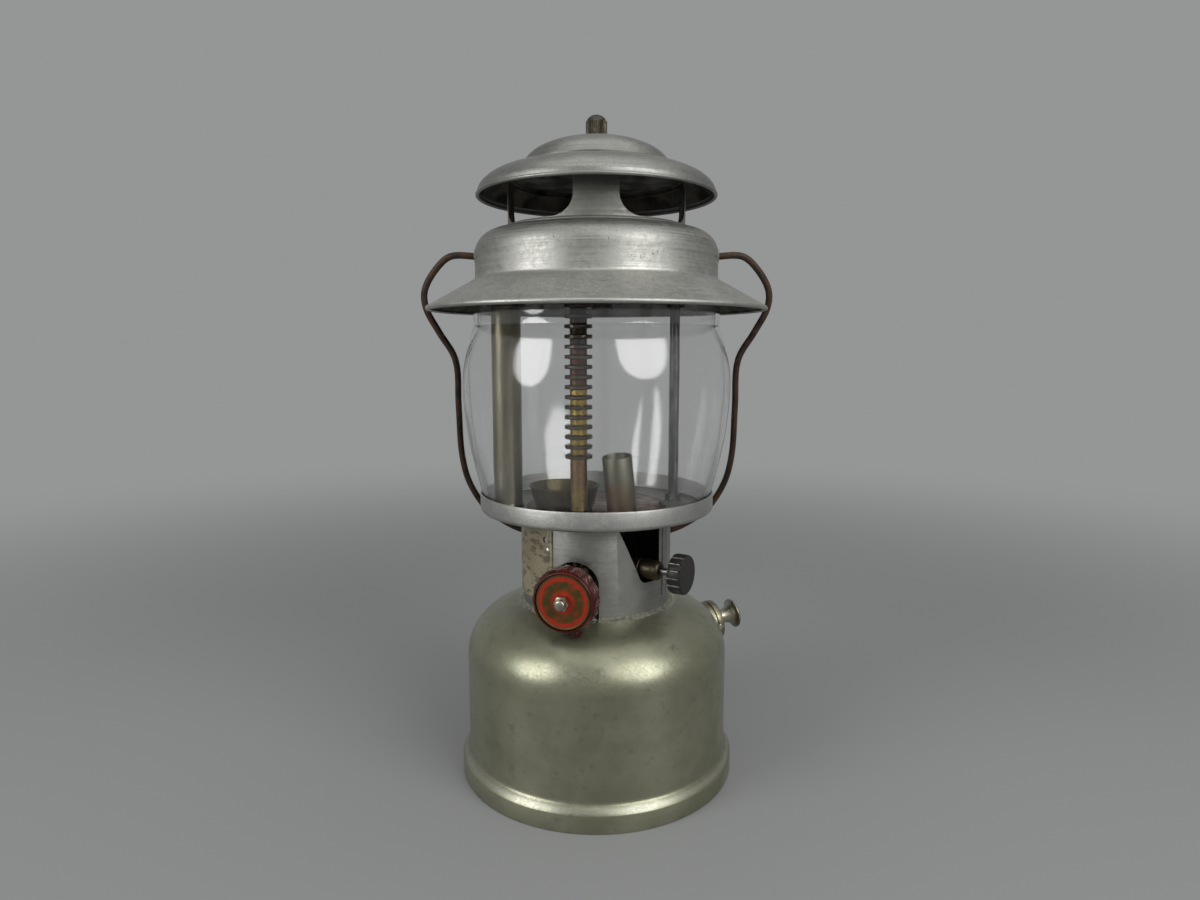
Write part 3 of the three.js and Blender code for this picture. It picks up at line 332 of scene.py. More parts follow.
def tuned(material, settings):
    """Sets sockets of the shader to fixed values."""
    for name, value in settings.items():
        material.node_tree.nodes["Principled BSDF"].inputs[name].default_value = value
    return material


def node(tree, kind, **settings):
    made = tree.nodes.new("ShaderNode" + kind)
    for key, value in settings.items():
        setattr(made, key, value)
    return made


def link(value, socket):
    value.id_data.links.new(value, socket)


def drive(name, value):
    """Lets a value drive a socket of its material's shader."""
    link(value, value.id_data.nodes["Principled BSDF"].inputs[name])


def coordinates(material, stretch=(1, 1, 1), place=centre):
    """Object coordinates, seen from a piece's place and stretched."""
    source = node(material.node_tree, "TexCoord").outputs["Object"]
    moved = node(material.node_tree, "Mapping", vector_type="TEXTURE")
    moved.inputs["Location"].default_value = place.translation
    moved.inputs["Rotation"].default_value = place.to_euler()
    link(source, moved.inputs["Vector"])
    scaled = node(material.node_tree, "Mapping")
    scaled.inputs["Scale"].default_value = stretch
    link(moved.outputs["Vector"], scaled.inputs["Vector"])
    return scaled.outputs["Vector"]


def noise(material, size, detail, stretch=(1, 1, 1), roughness=0.55, **settings):
    """Noise from 0 to 1 whose features measure about a size in millimetres."""
    made = node(material.node_tree, "TexNoise", **settings)
    made.inputs["Scale"].default_value = 1 / (size * MM)
    made.inputs["Detail"].default_value = detail
    made.inputs["Roughness"].default_value = roughness
    link(coordinates(material, stretch), made.inputs["Vector"])
    return made.outputs["Fac"]


def calculated(operation, *values):
    """One step of reckoning with values and numbers, the first of which is a value."""
    made = node(values[0].id_data, "Math", operation=operation)
    for socket, value in zip(made.inputs, values):
        if isinstance(value, (int, float)):
            socket.default_value = value
        else:
            link(value, socket)
    return made.outputs["Value"]


def product(first, *others):
    """A value multiplied by other values and numbers."""
    for other in others:
        first = calculated("MULTIPLY", first, other)
    return first


def ramp(value, low, high, start=0.0, end=1.0, smooth=True):
    """A value mapped from one span to another and held at its ends."""
    made = node(value.id_data, "MapRange", interpolation_type="SMOOTHSTEP" if smooth else "LINEAR")
    for name, number in (("From Min", low), ("From Max", high), ("To Min", start), ("To Max", end)):
        made.inputs[name].default_value = number
    link(value, made.inputs["Value"])
    return made.outputs["Result"]


def fade(value, low, high, start=0.0, end=1.0):
    """A ramp between two places in millimetres."""
    return ramp(value, low * MM, high * MM, start, end)


def band(value, low, full, less, high):
    """1 between the middle two of four places in millimetres, and 0 beyond the outer two."""
    return product(fade(value, low, full), fade(value, less, high, 1, 0))


def wavy(value, wave, reach, low=0, high=1):
    """A place along an axis that wanders by a reach in millimetres."""
    return calculated("ADD", value, ramp(wave, low, high, -reach * MM, reach * MM, False))


def mixed(factor, first, second):
    """One colour going over into another. A colour is an (r, g, b) tuple or a value."""
    made = node(factor.id_data, "Mix", data_type="RGBA")
    link(factor, made.inputs["Factor"])
    for socket, color in ((made.inputs[6], first), (made.inputs[7], second)):
        if isinstance(color, tuple):
            socket.default_value = (*color, 1)
        else:
            link(color, socket)
    return made.outputs[2]


def layered(base, *layers):
    """Lays colours over a base, each up to a share where its pattern goes from one number to another."""
    for pattern, low, high, most, color in layers:
        base = mixed(ramp(pattern, low, high, 0, most), base, color)
    drive("Base Color", base)


def darker(color, share):
    return tuple(part * share for part in color)


def roughened(value, low, high):
    """Roughness from low to high, where a noise goes from dark to bright."""
    drive("Roughness", ramp(value, 0.3, 0.7, low, high))


def bumped(*reliefs):
    """Relief from several heights, each a (value, depth in millimetres) pair."""
    normal = None
    for height, depth in reliefs:
        bump = node(height.id_data, "Bump")
        bump.inputs["Distance"].default_value = depth * MM
        link(height, bump.inputs["Height"])
        if normal is not None:
            link(normal, bump.inputs["Normal"])
        normal = bump.outputs["Normal"]
    drive("Normal", normal)


def around(material, place=centre):
    """The radius and the height about an axis, in metres."""
    split = node(material.node_tree, "SeparateXYZ")
    link(coordinates(material, place=place), split.inputs["Vector"])
    x, y, height = split.outputs
    return calculated("SQRT", calculated("ADD", product(x, x), product(y, y))), height


def turning_marks(material, size, length):
    """Fine rings round the lantern's axis, as a spinning tool leaves them."""
    share = size / length
    marks = noise(material, size, 2, (share, share, 1), 0.5, noise_dimensions="4D")
    link(around(material)[0], marks.node.inputs["W"])
    return marks


print("the finisher's tools are ready")

# %% [markdown]
# ## Spun aluminium
# Hood, chimney, cap, gallery and collar are spun from aluminium sheet. It shows fine rings from the
# spinning tool, cloudy grey oxide, and small dark pits where it was knocked. The rings show in colour,
# roughness and relief, so that the lamps draw soft upright streaks on the drum. Painted shade darkens
# the drum towards the hood's top.

# %% Aluminium, bright and sooty
def spun_aluminium(name, color, roughness, cloud, pits, painted_shade_top=None):
    """Aluminium sheet whose clouds darken it by a share, with more or fewer pits, and painted shade that
    darkens it towards a top height.
    """
    metal = finish("spun_aluminium_" + name, color, 1.0, roughness)
    marks, clouds, mottle = turning_marks(metal, 0.8, 70), noise(metal, 26, 4), noise(metal, 2.4, 3)
    shade = mixed(ramp(clouds, 0.35, 0.7), color, darker(color, 1 - cloud))
    # painted shade: the colour darkens over the last 34 mm below that height, on the hood's drum
    if painted_shade_top:
        level = wavy(around(metal)[1], clouds, 2)
        shade = mixed(fade(level, painted_shade_top - 34, painted_shade_top - 3), shade, darker(color, 0.46))
    pit_noise, pit_edge = noise(metal, 1.1, 2), 0.73 - 0.06 * pits
    layered(shade, (noise(metal, 8, 5, (1, 1, 2)), 0.48, 0.7, 0.6, darker(color, 0.62)),
            (marks, 0.35, 0.75, 0.8, darker(color, 0.7)),
            (noise(metal, 0.9, 3, (1, 1, 1.6)), 0.4, 0.65, 0.7, darker(color, 0.66)),
            (pit_noise, pit_edge, pit_edge + 0.07, 1, darker(color, 0.3)))
    drive("Roughness", calculated("ADD", ramp(marks, 0.25, 0.75, roughness - 0.06, roughness + 0.07),
                                  ramp(mottle, 0.3, 0.7, -0.04, 0.06)))
    pitted = product(ramp(pit_noise, pit_edge, pit_edge + 0.07), -1.0)
    bumped((marks, 0.02), (mottle, 0.05), (pitted, 0.08))
    return metal


HOOD_TOP = measure("vent_hood").high
hood_metal = spun_aluminium("hood", (0.49, 0.49, 0.452), 0.48, 0.34, 0.9, HOOD_TOP)
cap_metal = spun_aluminium("cap", (0.32, 0.32, 0.296), 0.44, 0.3, 0.8)
# painted shade: the chimney's aluminium is a darker copy, standing in for the shade under the cap
painted_shade_chimney_metal = spun_aluminium("chimney", (0.27, 0.27, 0.247), 0.58, 0.3, 0.6)
# painted light: a brighter copy of the aluminium for the chimney's foot, which lies in the cap's shade
painted_light_flange_metal = spun_aluminium("flange", (0.66, 0.66, 0.62), 0.56, 0.2, 0.4)
gallery_metal = spun_aluminium("gallery", (0.5, 0.5, 0.472), 0.45, 0.2, 0.4)
collar_metal = spun_aluminium("collar", (0.385, 0.383, 0.358), 0.45, 0.36, 0.3)


def sooty_aluminium():
    """The side of the sheet that faces the flame, browned and sooted."""
    metal = finish("sooted_aluminium", (0.1, 0.09, 0.07), 0.6, 0.7)
    clouds = noise(metal, 14, 5)
    layered((0.085, 0.078, 0.058), (clouds, 0.35, 0.7, 1, (0.02, 0.018, 0.014)))
    roughened(clouds, 0.55, 0.85)
    bumped((noise(metal, 0.9, 3), 0.05))
    return metal


soot = sooty_aluminium()
print("aluminium finishes:", hood_metal.name, cap_metal.name, painted_shade_chimney_metal.name, gallery_metal.name)

# %% [markdown]
# ## Nickel, brass and steel
# The tank is nickel on brass with a fine mottle under a thin clear coat. The same recipe with other
# colours gives the brass of the valves. The nickel is pale on the flange's chamfer, partly worn and partly
# a painted highlight, and dusty round the collar's foot, which are two more colours by height and by
# radius.

# %% Plated and plain metals
def aged_metal(name, light, dark, roughness, cloud, fleck=0.8, sparkle=0.1, relief=0.03, stretch=(1, 1, 1)):
    """A metal mottled from light to dark, with flecks that make it glitter."""
    metal = finish(name, light, 1.0, roughness)
    clouds, stains = noise(metal, cloud, 5, stretch), noise(metal, cloud * 0.22, 4, stretch)
    flecks = noise(metal, fleck, 2)
    layered(light, (clouds, 0.3, 0.72, 1, dark), (stains, 0.56, 0.8, 0.6, darker(dark, 0.6)))
    drive("Roughness", calculated("ADD", ramp(flecks, 0.3, 0.7, roughness - sparkle, roughness + sparkle),
                                  ramp(clouds, 0.3, 0.7, -0.03, 0.05)))
    bumped((flecks, relief), (stains, relief))
    return metal


def tank_nickel():
    metal = aged_metal("aged_nickel_tank", (0.275, 0.276, 0.197), (0.198, 0.201, 0.133), 0.35, 24, 1.1,
                       0.06, 0.02)
    base = metal.node_tree.nodes["Principled BSDF"].inputs["Base Color"].links[0].from_socket
    radius, height = around(metal)
    # wear and painted highlight: a paler band on the flange's chamfer
    worn = band(wavy(height, noise(metal, 6, 3), 0.8), 10.2, 11.2, 12.2, 13.4)
    specks = ramp(noise(metal, 2.2, 2), 0.72, 0.76)
    seam = product(fade(radius, 43, 47.5, 1, 0), ramp(noise(metal, 1.3, 4), 0.42, 0.62))
    dotted = mixed(product(specks, 0.3), base, (0.14, 0.135, 0.1))
    dusty = mixed(product(seam, 0.75), dotted, (0.52, 0.52, 0.44))
    drive("Base Color", mixed(product(worn, 0.5), dusty, (0.36, 0.355, 0.30)))
    drive("Metallic", ramp(seam, 0, 1, 0.8, 0.2))
    return tuned(metal, {"Coat Weight": 0.25, "Coat Roughness": 0.2})


tank_metal = tank_nickel()
pump_metal = aged_metal("aged_nickel_pump", (0.28, 0.26, 0.18), (0.165, 0.15, 0.098), 0.4, 6)
tube_metal = aged_metal("aged_nickel_tube", (0.28, 0.258, 0.185), (0.165, 0.152, 0.104), 0.4, 9,
                        stretch=(1, 1, 0.16))
bright_nickel = aged_metal("aged_nickel_nut", (0.40, 0.38, 0.31), (0.26, 0.245, 0.19), 0.32, 3, 0.6, 0.06)
brass = aged_metal("aged_brass", (0.36, 0.27, 0.125), (0.19, 0.14, 0.07), 0.36, 7)
dark_brass = aged_metal("dark_brass", (0.095, 0.078, 0.048), (0.045, 0.038, 0.027), 0.45, 6)
cup_brass = aged_metal("dark_brass_cup", (0.15, 0.122, 0.06), (0.078, 0.064, 0.034), 0.46, 9, 0.9)
bronze = aged_metal("dark_bronze_nut", (0.085, 0.075, 0.055), (0.045, 0.04, 0.032), 0.55, 3, 0.7)
steel = aged_metal("dull_steel", (0.22, 0.22, 0.213), (0.11, 0.11, 0.106), 0.4, 4, 0.7, stretch=(1, 1, 0.3))
print("metals:", tank_metal.name, tube_metal.name, brass.name, dark_brass.name, steel.name)

# %% [markdown]
# ## Metals that the heat has coloured
# Heat paints the generator in bands. From its dark foot up they are brass, brown, brass again, purple brown
# and soot, and its fins stay grey. The floor plate is copper brown with rings of tarnish, and the torch
# tube turns from olive to warm brown towards its foot.

# %% Heat colours
def generator_metal():
    metal = finish("dark_brass_generator", (0.3, 0.2, 0.1), 1.0, 0.34)
    axis = upright("generator")
    low, high, _ = extent("generator", axis)
    radius, height = around(metal, axis)
    wobble = noise(metal, 7, 4)
    level = wavy(height, wobble, 5)
    color = (0.05, 0.04, 0.026)
    for share, heat in ((0.2, (0.46, 0.34, 0.12)), (0.32, (0.27, 0.165, 0.09)), (0.45, (0.42, 0.3, 0.075)),
                        (0.68, (0.10, 0.045, 0.034)), (0.82, (0.03, 0.022, 0.018))):
        start = low + (high - low) * share
        color = mixed(fade(level, start, start + (high - low) * 0.05), color, heat)
    grey = mixed(wobble, (0.13, 0.115, 0.085), (0.07, 0.06, 0.05))
    layered(mixed(fade(radius, 4.9, 5.3), color, grey),
            (noise(metal, 1.6, 3), 0.5, 0.75, 0.6, (0.07, 0.055, 0.04)))
    roughened(wobble, 0.27, 0.45)
    bumped((noise(metal, 0.9, 3), 0.04))
    return metal


def floor_metal():
    metal = finish("heat_tinted_plate", (0.36, 0.22, 0.16), 1.0, 0.36)
    smear = noise(metal, 11, 4)
    reach = wavy(around(metal)[0], smear, 5)
    rings = calculated("SINE", product(reach, 0.9 / MM))
    layered((0.27, 0.175, 0.13), (rings, -1, 1, 1, (0.15, 0.08, 0.06)),
            (noise(metal, 18, 3), 0.55, 0.7, 1, (0.33, 0.29, 0.23)),
            (reach, 33 * MM, 40 * MM, 1, (0.16, 0.085, 0.05)))
    roughened(smear, 0.28, 0.5)
    bumped((noise(metal, 1.2, 3), 0.04))
    return metal


def torch_metal():
    metal = finish("aged_nickel_torch", (0.3, 0.28, 0.2), 1.0, 0.4)
    low, high, _ = extent("torch_tube")
    middle = (low + high) / 2
    blotch = noise(metal, 8, 4)
    level = wavy(around(metal)[1], blotch, 4)
    color = mixed(fade(level, middle - 7, middle + 5), (0.185, 0.125, 0.075), (0.15, 0.15, 0.11))
    layered(color, (noise(metal, 3, 4), 0.55, 0.75, 0.5, (0.085, 0.075, 0.052)))
    roughened(blotch, 0.42, 0.56)
    bumped((noise(metal, 1.0, 3), 0.04))
    return metal


generator_finish, floor_finish, torch_finish = generator_metal(), floor_metal(), torch_metal()
print("heat coloured:", generator_finish.name, floor_finish.name, torch_finish.name)

# %% [markdown]
# ## Rust, casting and soft materials
# The bail is rusted wire, the burner a sooty casting, the pump's washer leather and the filler's gasket
# rubber. The solder has a rough crust, and the collar is lined with dull tin. None of them is a bare metal,
# so their metallic value is lower.

# %% Rust, casting, leather and rubber
def rusty_wire():
    metal = finish("rusty_wire", (0.14, 0.085, 0.055), 0.55, 0.6)
    patches, crumbs = noise(metal, 7, 5), noise(metal, 1.0, 4)
    layered((0.024, 0.019, 0.016), (patches, 0.35, 0.65, 1, (0.072, 0.038, 0.021)),
            (crumbs, 0.58, 0.72, 1, (0.13, 0.068, 0.036)))
    roughened(patches, 0.45, 0.75)
    bumped((crumbs, 0.12))
    return metal


def plain_material(name, light, dark, roughness, size, relief, metallic=0.0):
    material = finish(name, light, metallic, roughness)
    grain = noise(material, size, 5)
    layered(light, (grain, 0.3, 0.7, 1, dark))
    roughened(grain, roughness - 0.08, roughness + 0.08)
    bumped((noise(material, size * 0.25, 3), relief))
    return material


rust = rusty_wire()
crust = plain_material("solder_crust", (0.25, 0.25, 0.195), (0.115, 0.115, 0.08), 0.7, 2.2, 0.3, 0.4)
lining = plain_material("dull_tin_lining", (0.16, 0.155, 0.125), (0.08, 0.077, 0.06), 0.55, 5, 0.1, 0.6)
casting = plain_material("dark_casting", (0.1, 0.09, 0.08), (0.035, 0.03, 0.028), 0.75, 5, 0.12, 0.4)
leather = plain_material("leather", (0.24, 0.13, 0.07), (0.12, 0.06, 0.03), 0.7, 3, 0.08)
rubber = plain_material("rubber", (0.05, 0.05, 0.05), (0.025, 0.025, 0.025), 0.8, 3, 0.03)
print("rough ones:", rust.name, crust.name, lining.name, casting.name, leather.name, rubber.name)

# %% [markdown]
# ## Glass, paint and moulded grips
# The globe is clear glass with slow waves in its surface and a coat that softens the lamps' reflections.
# The instruction plate is yellowed paint with brown stains. The hand wheel is maroon plastic worn pale on
# its lobes, its face plate has a red ring round an olive field, and the torch's knob is black and pale in
# its grooves.

# %% Glass, paint and plastics
def clear_glass():
    glass = finish("globe_glass", (0.968, 0.97, 0.968), 0.0, 0.0)
    bumped((noise(glass, 34, 1), 0.5))
    return tuned(glass, {"Transmission Weight": 1.0, "IOR": 1.16, "Coat Weight": 1.0,
                         "Coat Roughness": 0.1})


def yellowed_paint():
    paint = finish("plate_enamel", (0.33, 0.3, 0.2), 0.25, 0.42)
    age, spots, scratches = noise(paint, 24, 5), noise(paint, 1.6, 3), noise(paint, 6, 5, (1, 1, 2.4))
    layered((0.30, 0.27, 0.178), (age, 0.32, 0.7, 1, (0.2, 0.172, 0.104)),
            (scratches, 0.5, 0.62, 0.75, (0.07, 0.056, 0.035)),
            (spots, 0.64, 0.72, 0.6, (0.05, 0.038, 0.025)))
    roughened(age, 0.34, 0.55)
    bumped((spots, 0.03))
    return paint


def maroon_plastic():
    plastic = finish("maroon_bakelite", (0.16, 0.02, 0.02), 0.0, 0.32)
    wear, rubbed = noise(plastic, 2.6, 4), noise(plastic, 0.9, 3)
    radius = around(plastic, valve_axis)[0]
    edge = product(band(radius, 16.8, 17.4, 17.8, 18.1), ramp(rubbed, 0.5, 0.62))
    deep = mixed(ramp(noise(plastic, 7, 4), 0.35, 0.7), (0.06, 0.0065, 0.0035), (0.028, 0.004, 0.0028))
    drive("Base Color", mixed(product(edge, 0.8), deep, (0.36, 0.25, 0.21)))
    roughened(wear, 0.24, 0.36)
    bumped((wear, 0.04))
    return tuned(plastic, {"Specular IOR Level": 0.25})


def face_paint():
    paint = finish("red_painted_plate", (0.6, 0.07, 0.03), 0.5, 0.36)
    radius = around(paint, valve_axis)[0]
    smear, streak = noise(paint, 3.4, 5), noise(paint, 2.2, 4)
    reach = wavy(radius, smear, 0.7, 0.2, 0.8)
    field = mixed(ramp(smear, 0.42, 0.72, 0, 0.7), (0.06, 0.045, 0.008), (0.30, 0.028, 0.008))
    middle = mixed(fade(reach, 4.6, 7.4), (0.36, 0.026, 0.008), field)
    ringed = mixed(fade(reach, 10.6, 11.8), middle, (0.38, 0.022, 0.007))
    worn = mixed(ramp(streak, 0.52, 0.7, 0, 0.5), ringed, (0.17, 0.035, 0.01))
    edge = measure("wheel_face_plate", valve_axis).radius - 1.1
    drive("Base Color", mixed(fade(radius, edge - 0.6, edge), worn, (0.1, 0.062, 0.018)))
    roughened(smear, 0.26, 0.45)
    bumped((noise(paint, 0.9, 3), 0.03))
    return paint


def black_plastic():
    plastic = finish("black_bakelite", (0.02, 0.019, 0.017), 0.0, 0.42)
    radius, height = around(plastic, torch_axis)
    _, top, rim = extent("torch_knob", torch_axis)
    groove_speckle = noise(plastic, 1.2, 4)
    # pale marks in the knob's grooves, on its side
    groove = product(band(radius, rim - 2.4, rim - 2.0, rim - 0.7, rim - 0.3),
                     fade(height, top - 1.6, top - 1.2, 1, 0), ramp(groove_speckle, 0.3, 0.6))
    drive("Base Color", mixed(product(groove, 0.8), (0.014, 0.013, 0.011), (0.62, 0.61, 0.56)))
    roughened(groove_speckle, 0.36, 0.52)
    bumped((groove_speckle, 0.03))
    return tuned(plastic, {"Specular IOR Level": 0.3})


glass, plate_paint, maroon = clear_glass(), yellowed_paint(), maroon_plastic()
face_finish, black = face_paint(), black_plastic()
print("clear and painted:", glass.name, plate_paint.name, maroon.name, face_finish.name, black.name)

# %% [markdown]
# ## Handing a piece over
# A finished piece is smoothed, gets its finish, rides the body of the node it stands for and takes that
# node's place. Inner faces of the sheet metal get a second finish: soot near the flame, dull tin in the
# collar.


def smoothed(piece, material, angle):
    take(piece)
    bpy.ops.object.shade_smooth_by_angle(angle=math.radians(angle))
    piece.data.materials.clear()
    piece.data.materials.append(material)


def dress(piece, material, node_name=None, smooth=35):
    """Hands a piece over for the node it is named after, or for another one."""
    node_name = node_name or piece.name.replace("_look", "")
    smoothed(piece, material, smooth)
    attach(piece, frame["nodes"][node_name]["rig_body"])
    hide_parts(node_name)
    print(f"{piece.name}: {len(piece.data.polygons)} faces, {material.name}")
    return piece


def lined(piece, material, within):
    """Gives the faces that look inwards or down a second finish, within a radius in millimetres."""
    piece.data.materials.append(material)
    for face in piece.data.polygons:
        reach = math.hypot(face.center.x, face.center.y)
        inward = (face.center.x * face.normal.x + face.center.y * face.normal.y) / max(reach, MM)
        if reach < within * MM and (inward < -0.3 or face.normal.z < -0.5):
            face.material_index = 1
    return piece


def corners(node_name):
    """The corners of a node, in millimetres."""
    return [corner.co / MM for corner in frame["nodes"][node_name].data.vertices]


def span_middle(node_name, end):
    """The middle of a node's lowest or highest end, in millimetres, where end is min or max."""
    points = corners(node_name)
    level = end(p.z for p in points)
    near = [p for p in points if abs(p.z - level) < 3]
    return Vector([(min(p[i] for p in near) + max(p[i] for p in near)) / 2 for i in range(3)])


def smooth_path(points, steps=5):
    """Points on a smooth path through given points, by centripetal Catmull-Rom."""
    points = [Vector(p) for p in points]
    ends = [2 * points[0] - points[1], *points, 2 * points[-1] - points[-2]]
    path = []
    for group in zip(ends, ends[1:], ends[2:], ends[3:]):
        knots = [0.0]
        for p, q in zip(group, group[1:]):
            knots.append(knots[-1] + math.sqrt((q - p).length))
        for i in range(steps):
            t = knots[1] + (knots[2] - knots[1]) * i / steps
            level = group
            for spans in (((0, 1), (1, 2), (2, 3)), ((0, 2), (1, 3)), ((1, 2),)):
                level = [p + (q - p) * ((t - knots[a]) / (knots[b] - knots[a]))
                         for (a, b), p, q in zip(spans, level, level[1:])]
            path.append(level[0])
    return [*path, points[-1]]


def swept(name, path, radius):
    """A round wire along a path of points in millimetres."""
    piece = drawn(name, path)
    bpy.ops.object.mode_set(mode="OBJECT")
    bpy.ops.object.transform_apply(location=True, rotation=True, scale=True)
    take(piece)
    bpy.ops.object.convert(target="CURVE")
    wire = bpy.context.object.data
    wire.bevel_depth, wire.bevel_resolution, wire.use_fill_caps = radius * MM, 5, True
    bpy.ops.object.convert(target="MESH")
    piece = bpy.context.object
    piece.name = piece.data.name = name
    bpy.ops.object.mode_set(mode="EDIT")
    return settled(piece, centre)


# %% [markdown]
# ## The fuel tank
# The shell is one turned outline: a flange with a worn chamfer, a straight wall, and a shoulder that is a
# quarter of an ellipse. A thin pan closes it from below. Three bores are cut in the shoulder, for the
# filler, for the pump and for the fuel valve.

# %% Tank
SHEET = 1.0
FILLER_BORE, PUMP_BORE, GENERATOR_BORE, ROD_BORE = 7.5, 9.8, 4.8, 3.2
_, crown, flange = extent("tank_shell")
wall, shoulder, flat = flange - 4, crown - 30, 35.0
filler_place, generator_place = upright("filler_neck"), upright("generator")
pump_place = pump_axis @ Matrix.Translation((0, 0, measure("pump_cap", pump_axis).high * MM))


def shoulder_arc(margin, start, end, steps):
    return arc((flat, shoulder), wall - flat + margin, crown - shoulder + margin, start, end, steps)


def tank_bulk():
    """The closed bulk of the tank, grown by a margin, for cutting fittings to its shoulder."""
    margin = 0.1
    return turned("cutter", [(0, 1), (wall + margin, 1), *shoulder_arc(margin, 0, 90, 28),
                             (0, crown + margin)])


shell = turned("tank_shell_look", [
    (0, crown - SHEET), *shoulder_arc(-SHEET, 90, 0, 20), (wall - SHEET, 15.8), (wall + 0.4, 12.9),
    (flange - SHEET, 9.9), (flange - SHEET, SHEET), (flange - 3, SHEET), (flange - 3, 0), (flange - 0.5, 0),
    (flange, 0.5), (flange, 9.6), (flange - 0.3, 10.2), (wall + 1.3, 13.1), (wall + 0.6, 13.7),
    (wall + 0.2, 14.5), (wall, 15.8), *shoulder_arc(0, 0, 90, 30), (0, crown)], steps=128)
cut(shell, rod(FILLER_BORE, shoulder, crown + 20, filler_place), rod(PUMP_BORE, -80, 4, pump_place, 48),
    rod(7.8, shoulder, crown + 5, generator_place))
dress(shell, tank_metal)

low, rise, rim = extent("tank_bottom")
pan = turned("tank_bottom_look", [
    (0, rise - SHEET), (68.5, rise - SHEET), (69.3, rise - 1.3), (70.6, low + 0.4), (71.2, low), (rim, low),
    (rim, low + SHEET), (71.9, low + SHEET), (71.2, low + 1.5), (70.1, rise - 0.4), (69.5, rise),
    (0, rise)])
dress(pan, steel)

# %% [markdown]
# ## Filler
# The filler stands at the back of the shoulder. Its neck flares out where it is soldered to the tank and
# is threaded above; a rubber gasket lies on it, and a fluted screw cap with a dished top closes it.

# %% Filler
neck_top, seal = measure("filler_neck", filler_place).high, measure("filler_gasket", filler_place)
low, high, wide = extent("filler_cap", filler_place)
seam = low - 0.3
rings = [(r, seam + level + i) for i in range(3)
         for r, level in ((9.0, 0.2), (8.65, 0.5), (8.65, 0.6), (9.0, 0.9))]
flare = 12.2
filler = turned("filler_neck_look", [
    (FILLER_BORE, shoulder), (flare, shoulder), (flare, seam - 5.4),
    *arc((flare, seam - 1), 3.2, 4.4, 270, 180, 6), (9.0, seam), *rings, (9.0, neck_top - 0.2),
    (8.8, neck_top), (FILLER_BORE, neck_top)], filler_place, 64)
dress(cut(filler, tank_bulk()), brass)
dress(eased(straight("filler_gasket", filler_place, FILLER_BORE), 0.3), rubber)
cap = turned_like("filler_cap", [(-0.4, 0), (0, 0.5)],
                  [(0, 1.6), (-0.6, 0.7), (-1.6, 0), (8.2, 0), (7.4, 0.7)], filler_place, 64)
shaped(cap, waved(wide, 0.7, 16), "filler_cap", filler_place)
dress(cut(cap, rod(9.3, low - 2, seal.high, filler_place)), pump_metal)

# %% [markdown]
# ## Pump
# The pump stands square on the tank's shoulder, at the right and turned away from the camera. A grooved
# ring holds it, two slotted screws lock the ring, and a knob with a flared neck and a dished face sits on
# the rod. Heights count from the ring's face.

# %% Pump
wide = measure("pump_cap", pump_place).radius
pump_ring = turned("pump_ring_look", profile(0, 0, wide, [
    (PUMP_BORE, -2.2), (PUMP_BORE, -9.7), (0, -9.7), (0, -4.5), (-0.2, -4.3), (-1.1, -4.3), (-1.1, -3.8),
    (-0.2, -3.8), (0, -3.6), (0, -0.8), (-0.25, -0.25), (-0.8, 0)], bore=2.5), pump_place)
cut(pump_ring, tank_bulk())
for i, turn in ((1, math.pi), (2, 0)):
    screw_name = f"pump_cap_screw_{i}"
    place = (pump_place @ Matrix.Rotation(turn, 4, "Z") @ Matrix.Translation((0, 0, -3.4 * MM))
             @ Matrix.Rotation(math.pi / 2, 4, "Y"))
    low, high, _ = extent(screw_name, place)
    cut(pump_ring, rod(1.2, low - 0.5, high, place, 24))
    screw = slotted_screw(f"pump_ring_screw_look_{i}", place, low, high, 1.8, 0.95)
    dress(screw, bright_nickel, screw_name)
dress(pump_ring, pump_metal, "pump_cap")

foot, top, wide = extent("pump_knob", pump_place)
dress(turned("pump_knob_look", [
    (0, top - 1.4), (2.2, top - 1.4), (2.2, foot), (3.6, foot),
    *arc((wide, foot), wide - 3.6, top - foot - 1.5, 180, 94, 10), (wide, top - 1.2), (wide, top - 0.5),
    (wide - 0.25, top - 0.1), (wide - 0.7, top), (wide - 1.2, top - 0.1), (wide - 1.8, top - 0.55),
    (3.0, top - 0.85), (0, top - 0.9)], pump_place, 64), bright_nickel)
dress(straight("pump_rod", pump_place), steel)
low, high, wide = extent("pump_leather", pump_place)
bore = measure("pump_leather", pump_place).bore
washer = turned("pump_leather_look", [
    (bore, low), (wide - 0.6, low), (wide, low + 0.6), (wide, high), (wide - 1, high),
    (wide - 1, low + 2.4), (wide - 1.5, low + 2), (bore, low + 2)], pump_place, 48)
dress(washer, leather)

# %% [markdown]
# ## Collar
# The collar is a spun tube with an inward lip on top and a lapped seam. A round arch opens it for the fuel
# valve and a slanting window for the torch. The cutters are drawn as seen square on, and pushed out from
# the axis. A thin crusty seam of solder runs round the foot.

# %% Collar
collar_foot, collar_top, _ = extent("frame_collar")
collar_radius = 42.6
inner = collar_radius - SHEET


def facing(azimuth):
    """A place whose Z runs from the lantern's axis out at an azimuth, with Y upright."""
    turn = math.radians(azimuth)
    return place_along((0, 0, 0), (math.sin(turn), -math.cos(turn), 0))


def opening(outline, azimuth, start=0):
    """A cutter with an outline as seen from an azimuth, which runs out through the wall."""
    return plate(outline, start, 60, facing(azimuth))


def standing(x, y):
    return Matrix.Translation((x * MM, y * MM, 0))


def floor_cutters(low, high):
    """Rods through everything that stands in the gallery's floor."""
    holes = [(generator_place, GENERATOR_BORE), (standing(14, -29.5), 6.5)]
    holes += [(upright(f"gallery_screw_{i}"), 1.7) for i in (1, 2, 3)]
    return [rod(reach, low, high, place) for place, reach in holes]


def seam_strip(azimuth, half, proud):
    """A strip of sheet that is lapped over the collar."""
    low, high = 107, collar_top - 0.4
    strip = tube("strip", collar_radius + proud, collar_radius - 0.4, low, high, steps=128)
    return cut(strip, opening(oblong(half, low - 1, high + 1), azimuth, 1), operation="INTERSECT")


